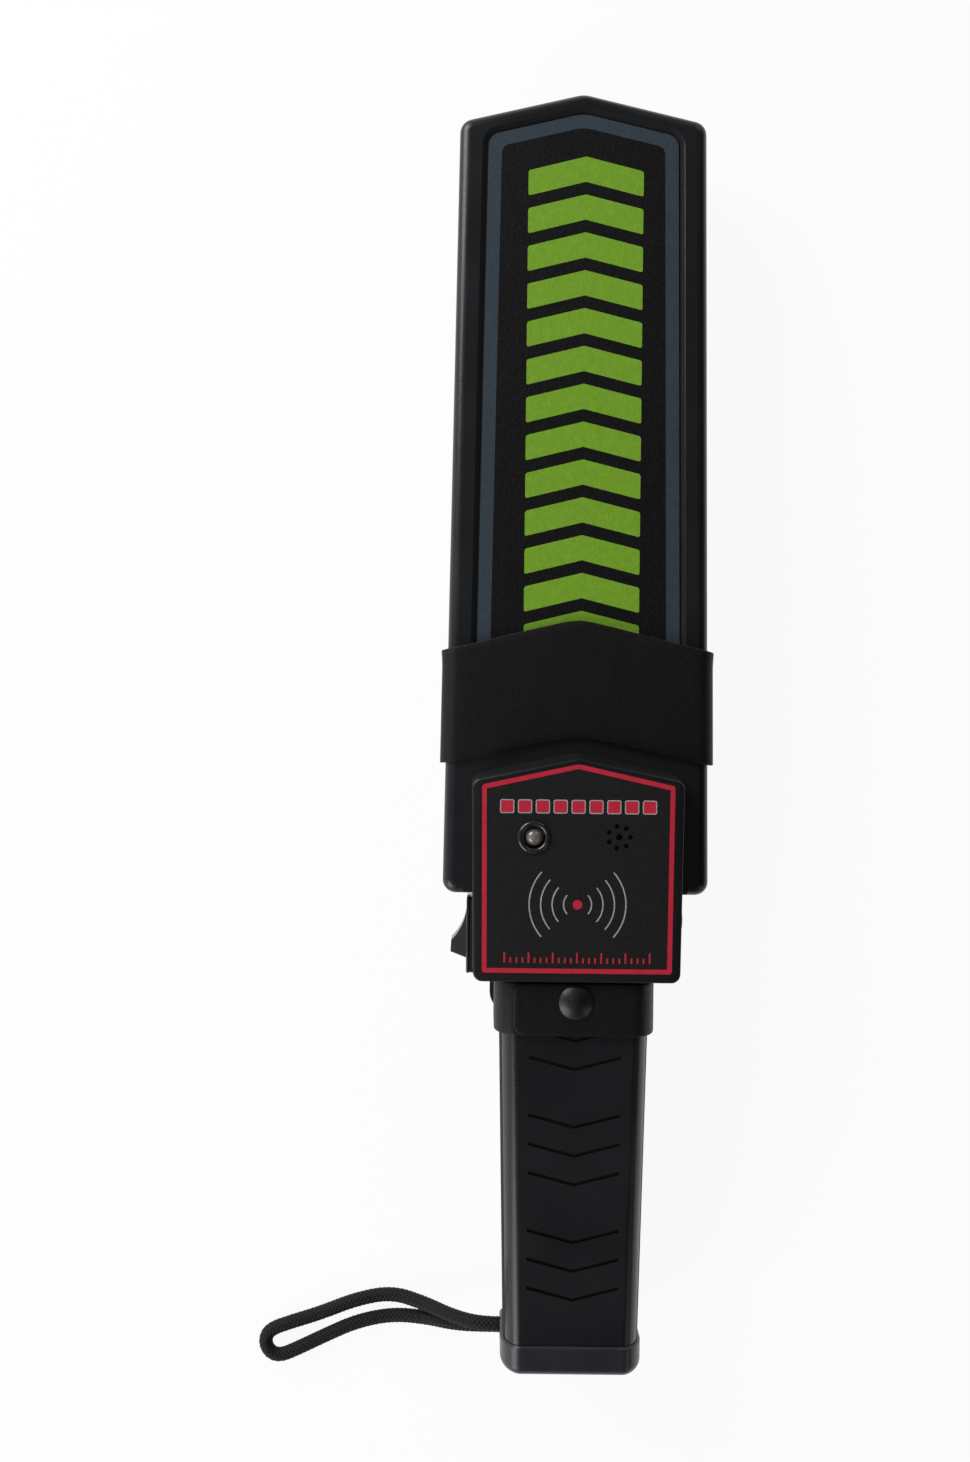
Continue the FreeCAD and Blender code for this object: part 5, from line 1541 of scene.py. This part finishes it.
@dataclass
class WristCord:
    """Braided wrist cord: sixteen yarns, half of them wound each way, over a core."""

    diameter: float = 4.2
    yarns: int = 8
    lay: float = 12.0
    ride: float = 2.02
    wave: float = 0.13
    yarn_wide: float = 0.58
    yarn_thick: float = 0.28
    core_radius: float = 1.88
    step: float = 0.42
    floor_z: float = 2.15
    exit_x: float = -22.6
    ring_sides: int = 6
    core_sides: int = 10
    core_every: int = 3
    route: Tuple[Tuple[float, float, Optional[float]], ...] = (
        (-29.2, -197.9, 19.8), (-38.4, -197.6, 14.6), (-48.2, -196.3, 6.6), (-59.5, -194.4, None),
        (-71.8, -196.8, None), (-84.2, -201.8, None), (-94.4, -205.0, None), (-101.6, -207.6, None),
        (-103.3, -211.3, None), (-101.8, -215.1, None), (-98.1, -216.7, None), (-91.6, -213.9, None),
        (-82.0, -209.2, None), (-71.6, -204.5, None), (-59.5, -201.9, None), (-47.8, -201.5, 5.5),
        (-37.8, -201.2, 11.4), (-29.2, -199.9, 15.6))

    def line(self) -> List[Vector]:
        """Evenly spaced points on the cord's NURBS line, in metres."""
        points = [(self.exit_x, -197.9, 19.8), *self.route, (self.exit_x, -199.9, 15.6)]
        curve = bpy.data.curves.new("cord_line", "CURVE")
        curve.dimensions = "3D"
        curve.resolution_u = 24
        spline = curve.splines.new("NURBS")
        spline.points.add(len(points) - 1)
        for corner, (x, y, z) in zip(spline.points, points):
            corner.co = (*metres(x, y, self.floor_z if z is None else z), 1.0)
        spline.order_u = 3
        spline.use_endpoint_u = True
        holder = bpy.data.objects.new("cord_line", curve)
        bpy.context.collection.objects.link(holder)
        bpy.context.view_layer.update()
        mesh = bpy.data.meshes.new_from_object(holder.evaluated_get(bpy.context.evaluated_depsgraph_get()))
        rough = [corner.co.copy() for corner in mesh.vertices]
        bpy.data.objects.remove(holder)
        bpy.data.curves.remove(curve)
        bpy.data.meshes.remove(mesh)
        return self.even(rough)

    def even(self, rough: List[Vector]) -> List[Vector]:
        """Steps of one length along a finer line."""
        rough = [rough[0]] + [b for a, b in zip(rough, rough[1:]) if (b - a).length > 0.01 * MM]
        marks = [0.0]
        for a, b in zip(rough, rough[1:]):
            marks.append(marks[-1] + (b - a).length)
        count = round(marks[-1] / (self.step * MM))
        points = []
        at = 0
        for i in range(count + 1):
            want = marks[-1] * i / count
            while at < len(marks) - 2 and marks[at + 1] < want:
                at += 1
            span = marks[at + 1] - marks[at]
            share = 0.0 if span == 0 else (want - marks[at]) / span
            points.append(rough[at].lerp(rough[at + 1], min(1.0, share)))
        return points

    def frames(self, points: List[Vector]) -> List[Frame]:
        """Direction, side and rise at each point, carried along with no twist."""
        ways = []
        for i in range(len(points)):
            a = points[max(0, i - 1)]
            b = points[min(len(points) - 1, i + 1)]
            ways.append((b - a).normalized())
        side = ways[0].cross(FRONT).normalized()
        result = []
        for way in ways:
            side = (side - way * side.dot(way)).normalized()
            result.append((way, side, way.cross(side)))
        return result

    def build(self) -> None:
        points = self.line()
        frames = self.frames(points)
        length = sum((b - a).length for a, b in zip(points, points[1:]))
        mesh = bmesh.new()
        along = mesh.loops.layers.uv.new("along")
        for hand in (1, -1):
            for number in range(self.yarns):
                self.yarn(mesh, along, points, frames, hand, number)
        self.core(mesh, along, points, frames)
        data = bpy.data.meshes.new("wrist_cord")
        mesh.to_mesh(data)
        mesh.free()
        obj = bpy.data.objects.new("wrist_cord", data)
        bpy.context.collection.objects.link(obj)
        data.materials.append(Finish.BRAID.material)
        for face in data.polygons:
            face.use_smooth = True
        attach(obj, "cap")
        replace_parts(obj, "lanyard_cord")
        log.info("wrist_cord: %d faces, %.1f mm", len(data.polygons), length / MM)

    def yarn(self, mesh: bmesh.types.BMesh, along: bmesh.types.BMLayerItem, points: List[Vector],
             frames: List[Frame], hand: int, number: int) -> None:
        """Adds one yarn, over and under those of the other hand.

        Args:
            mesh: the braid so far.
            along: the UV layer that runs along the yarn.
            points: the cord's line.
            frames: its directions.
            hand: which way it winds.
            number: its place round the cord.
        """
        rings = []
        for i, (point, (way, side, rise)) in enumerate(zip(points, frames)):
            s = i * self.step
            turn = hand * math.tau * s / self.lay + math.tau * number / self.yarns
            cross = 2 * self.yarns * s / self.lay
            out = self.ride + hand * self.wave * math.cos(math.pi * cross)
            radial = side * math.cos(turn) + rise * math.sin(turn)
            around = rise * math.cos(turn) - side * math.sin(turn)
            lean = math.atan2(math.tau * self.ride, self.lay) * hand
            across = (around * math.cos(lean) - way * math.sin(lean)).normalized()
            centre = point + radial * out * MM
            bends = [math.tau * k / self.ring_sides for k in range(self.ring_sides)]
            rings.append([mesh.verts.new(centre + across * math.cos(bend) * self.yarn_wide * MM
                                         + radial * math.sin(bend) * self.yarn_thick * MM)
                          for bend in bends])
        self.skin(mesh, along, rings)

    def core(self, mesh: bmesh.types.BMesh, along: bmesh.types.BMLayerItem, points: List[Vector],
             frames: List[Frame]) -> None:
        """Adds the core that closes the gaps between the yarns."""
        rings = []
        turns = [math.tau * k / self.core_sides for k in range(self.core_sides)]
        stops = list(zip(points, frames))[::self.core_every] + [(points[-1], frames[-1])]
        for point, (_, side, rise) in stops:
            rings.append([mesh.verts.new(
                point + (side * math.cos(turn) + rise * math.sin(turn)) * self.core_radius * MM)
                for turn in turns])
        self.skin(mesh, along, rings)

    @staticmethod
    def skin(mesh: bmesh.types.BMesh, along: bmesh.types.BMLayerItem,
             rings: List[List[bmesh.types.BMVert]]) -> None:
        """Joins rings into a closed tube with UVs along it.

        Args:
            mesh: the mesh.
            along: its UV layer.
            rings: rings of corners.
        """
        count = len(rings[0])
        for i in range(len(rings) - 1):
            for k in range(count):
                n = (k + 1) % count
                corners = [rings[i][k], rings[i][n], rings[i + 1][n], rings[i + 1][k]]
                uvs = [(k / count, i), ((k + 1) / count, i), ((k + 1) / count, i + 1), (k / count, i + 1)]
                face = mesh.faces.new(corners)
                for loop, (u, v) in zip(face.loops, uvs):
                    loop[along].uv = (u, v * 0.5)
        mesh.faces.new(list(reversed(rings[0])))
        mesh.faces.new(rings[-1])


@dataclass
class Studio:
    """Floor, lights and the photograph's camera."""

    focal_px: float = 1500.0
    frame_high_px: float = 1462.0
    camera_at: Tuple[float, float, float] = (-29.62, -0.33, 520.0)
    camera_turn_deg: float = 0.633
    floor: Colour = (0.86, 0.86, 0.86)
    floor_glow: float = 0.93
    floor_z: float = -0.4
    sky: Tuple[Spot, ...] = ((0.0, 1.0), (0.15, 0.80), (0.3, 0.46), (0.45, 0.22), (0.75, 0.20), (1.0, 0.24))
    right_share: float = 0.12
    right_from: float = -0.12
    right_full: float = 0.24
    low_share: float = 0.12
    softboxes: Tuple[Tuple[str, Tuple[float, float, float], float, float], ...] = (
        ("key_softbox", (-0.718, 0.718, 0.54), 0.7, 12.0),
        ("near_softbox", (-0.718, -0.718, 0.54), 0.7, 7.0),
        ("rear_softbox", (0.508, 0.879, 0.54), 0.5, 0.9),
        ("fill_softbox", (0.718, -0.718, 0.54), 0.5, 0.7))

    def build(self) -> None:
        """Builds all three."""
        self.camera()
        self.ground()
        self.lights()
        scene = bpy.context.scene
        scene.view_settings.view_transform = "Standard"

    def camera(self) -> None:
        """Looks straight down from where the photograph was taken."""
        data = bpy.data.cameras.new("photo_camera")
        data.sensor_fit = "VERTICAL"
        data.sensor_height = 36.0
        data.lens = 36.0 * self.focal_px / self.frame_high_px
        camera = bpy.data.objects.new("photo_camera", data)
        camera.location = metres(*self.camera_at)
        camera.rotation_euler = (0.0, 0.0, math.radians(self.camera_turn_deg))
        bpy.context.collection.objects.link(camera)
        bpy.context.scene.camera = camera

    def ground(self) -> None:
        """Pale floor that the camera sees as white and that keeps a shadow."""
        Workpiece.clear()
        bpy.ops.mesh.primitive_plane_add(size=8.0, location=metres(0.0, 0.0, self.floor_z))
        floor = bpy.context.object
        floor.name = "studio_floor"
        Workpiece.settle()
        recipe = Recipe("studio floor")
        recipe.feed("Base Color", (*self.floor, 1.0))
        recipe.feed("Roughness", 0.9)
        path = recipe.node("ShaderNodeLightPath", {}, {})
        seen = Signal(recipe, path.outputs["Is Camera Ray"])
        for ray in ("Is Glossy Ray", "Is Transmission Ray"):
            seen = seen.maths("MAXIMUM", Signal(recipe, path.outputs[ray]))
        glow = recipe.node("ShaderNodeEmission", {}, {"Color": (1.0, 1.0, 1.0, 1.0), "Strength": 1.0})
        blend = recipe.node("ShaderNodeMixShader", {}, {
            0: seen * self.floor_glow, 1: recipe.shader.outputs[0], 2: glow.outputs[0]})
        recipe.plug(recipe.output.inputs["Surface"], blend.outputs[0])
        floor.data.materials.append(recipe.material)

    def lights(self) -> None:
        """Soft boxes on the diagonals and a sky that is pale low down, dim overhead and to the right."""
        for softbox in self.softboxes:
            self.box(*softbox)
        recipe = SkyRecipe("pale sky")
        rise = recipe.axis("Z")
        tone = recipe.node("ShaderNodeValToRGB", {"stops": [
            (level, (grey, grey, grey)) for level, grey in self.sky]}, {0: rise}).outputs[0]
        dim = recipe.ramp(recipe.axis("X"), self.right_from, self.right_full, 0.0, 1.0 - self.right_share)
        dim = dim * recipe.ramp(rise, 0.0, self.low_share)
        recipe.feed("Color", recipe.mix(dim, tone, (0.0, 0.0, 0.0)))
        bpy.context.scene.world = recipe.world

    @staticmethod
    def box(name: str, at: Tuple[float, float, float], size: float, power: float) -> None:
        """One square soft light aimed at the wand's middle.

        Args:
            name: its name.
            at: its place, in metres.
            size: its side, in metres.
            power: its power, in watts.
        """
        data = bpy.data.lights.new(name, "AREA")
        data.size = size
        data.energy = power
        lamp = bpy.data.objects.new(name, data)
        lamp.location = at
        lamp.rotation_euler = (-Vector(at)).to_track_quat("-Z", "Y").to_euler()
        bpy.context.collection.objects.link(lamp)


def dress_cad() -> None:
    """Gives the table's CAD nodes their finishes."""
    for finish, names in CAD_FINISHES.items():
        for name in names:
            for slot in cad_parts[name].material_slots:
                slot.material = finish.material


def main() -> None:
    """Builds the scene in order."""
    logging.basicConfig(level=logging.INFO, format="%(name)s %(message)s")
    Workpiece.clear()
    Studio().build()
    WristCord().build()
    dress_cad()
    for piece in (PaddlePrint, ControlShell, PanelPrint, RockerSwitch, PaddleBand, NeckStrap, HolsterBack):
        piece().build()


if __name__ == "__main__":
    main()
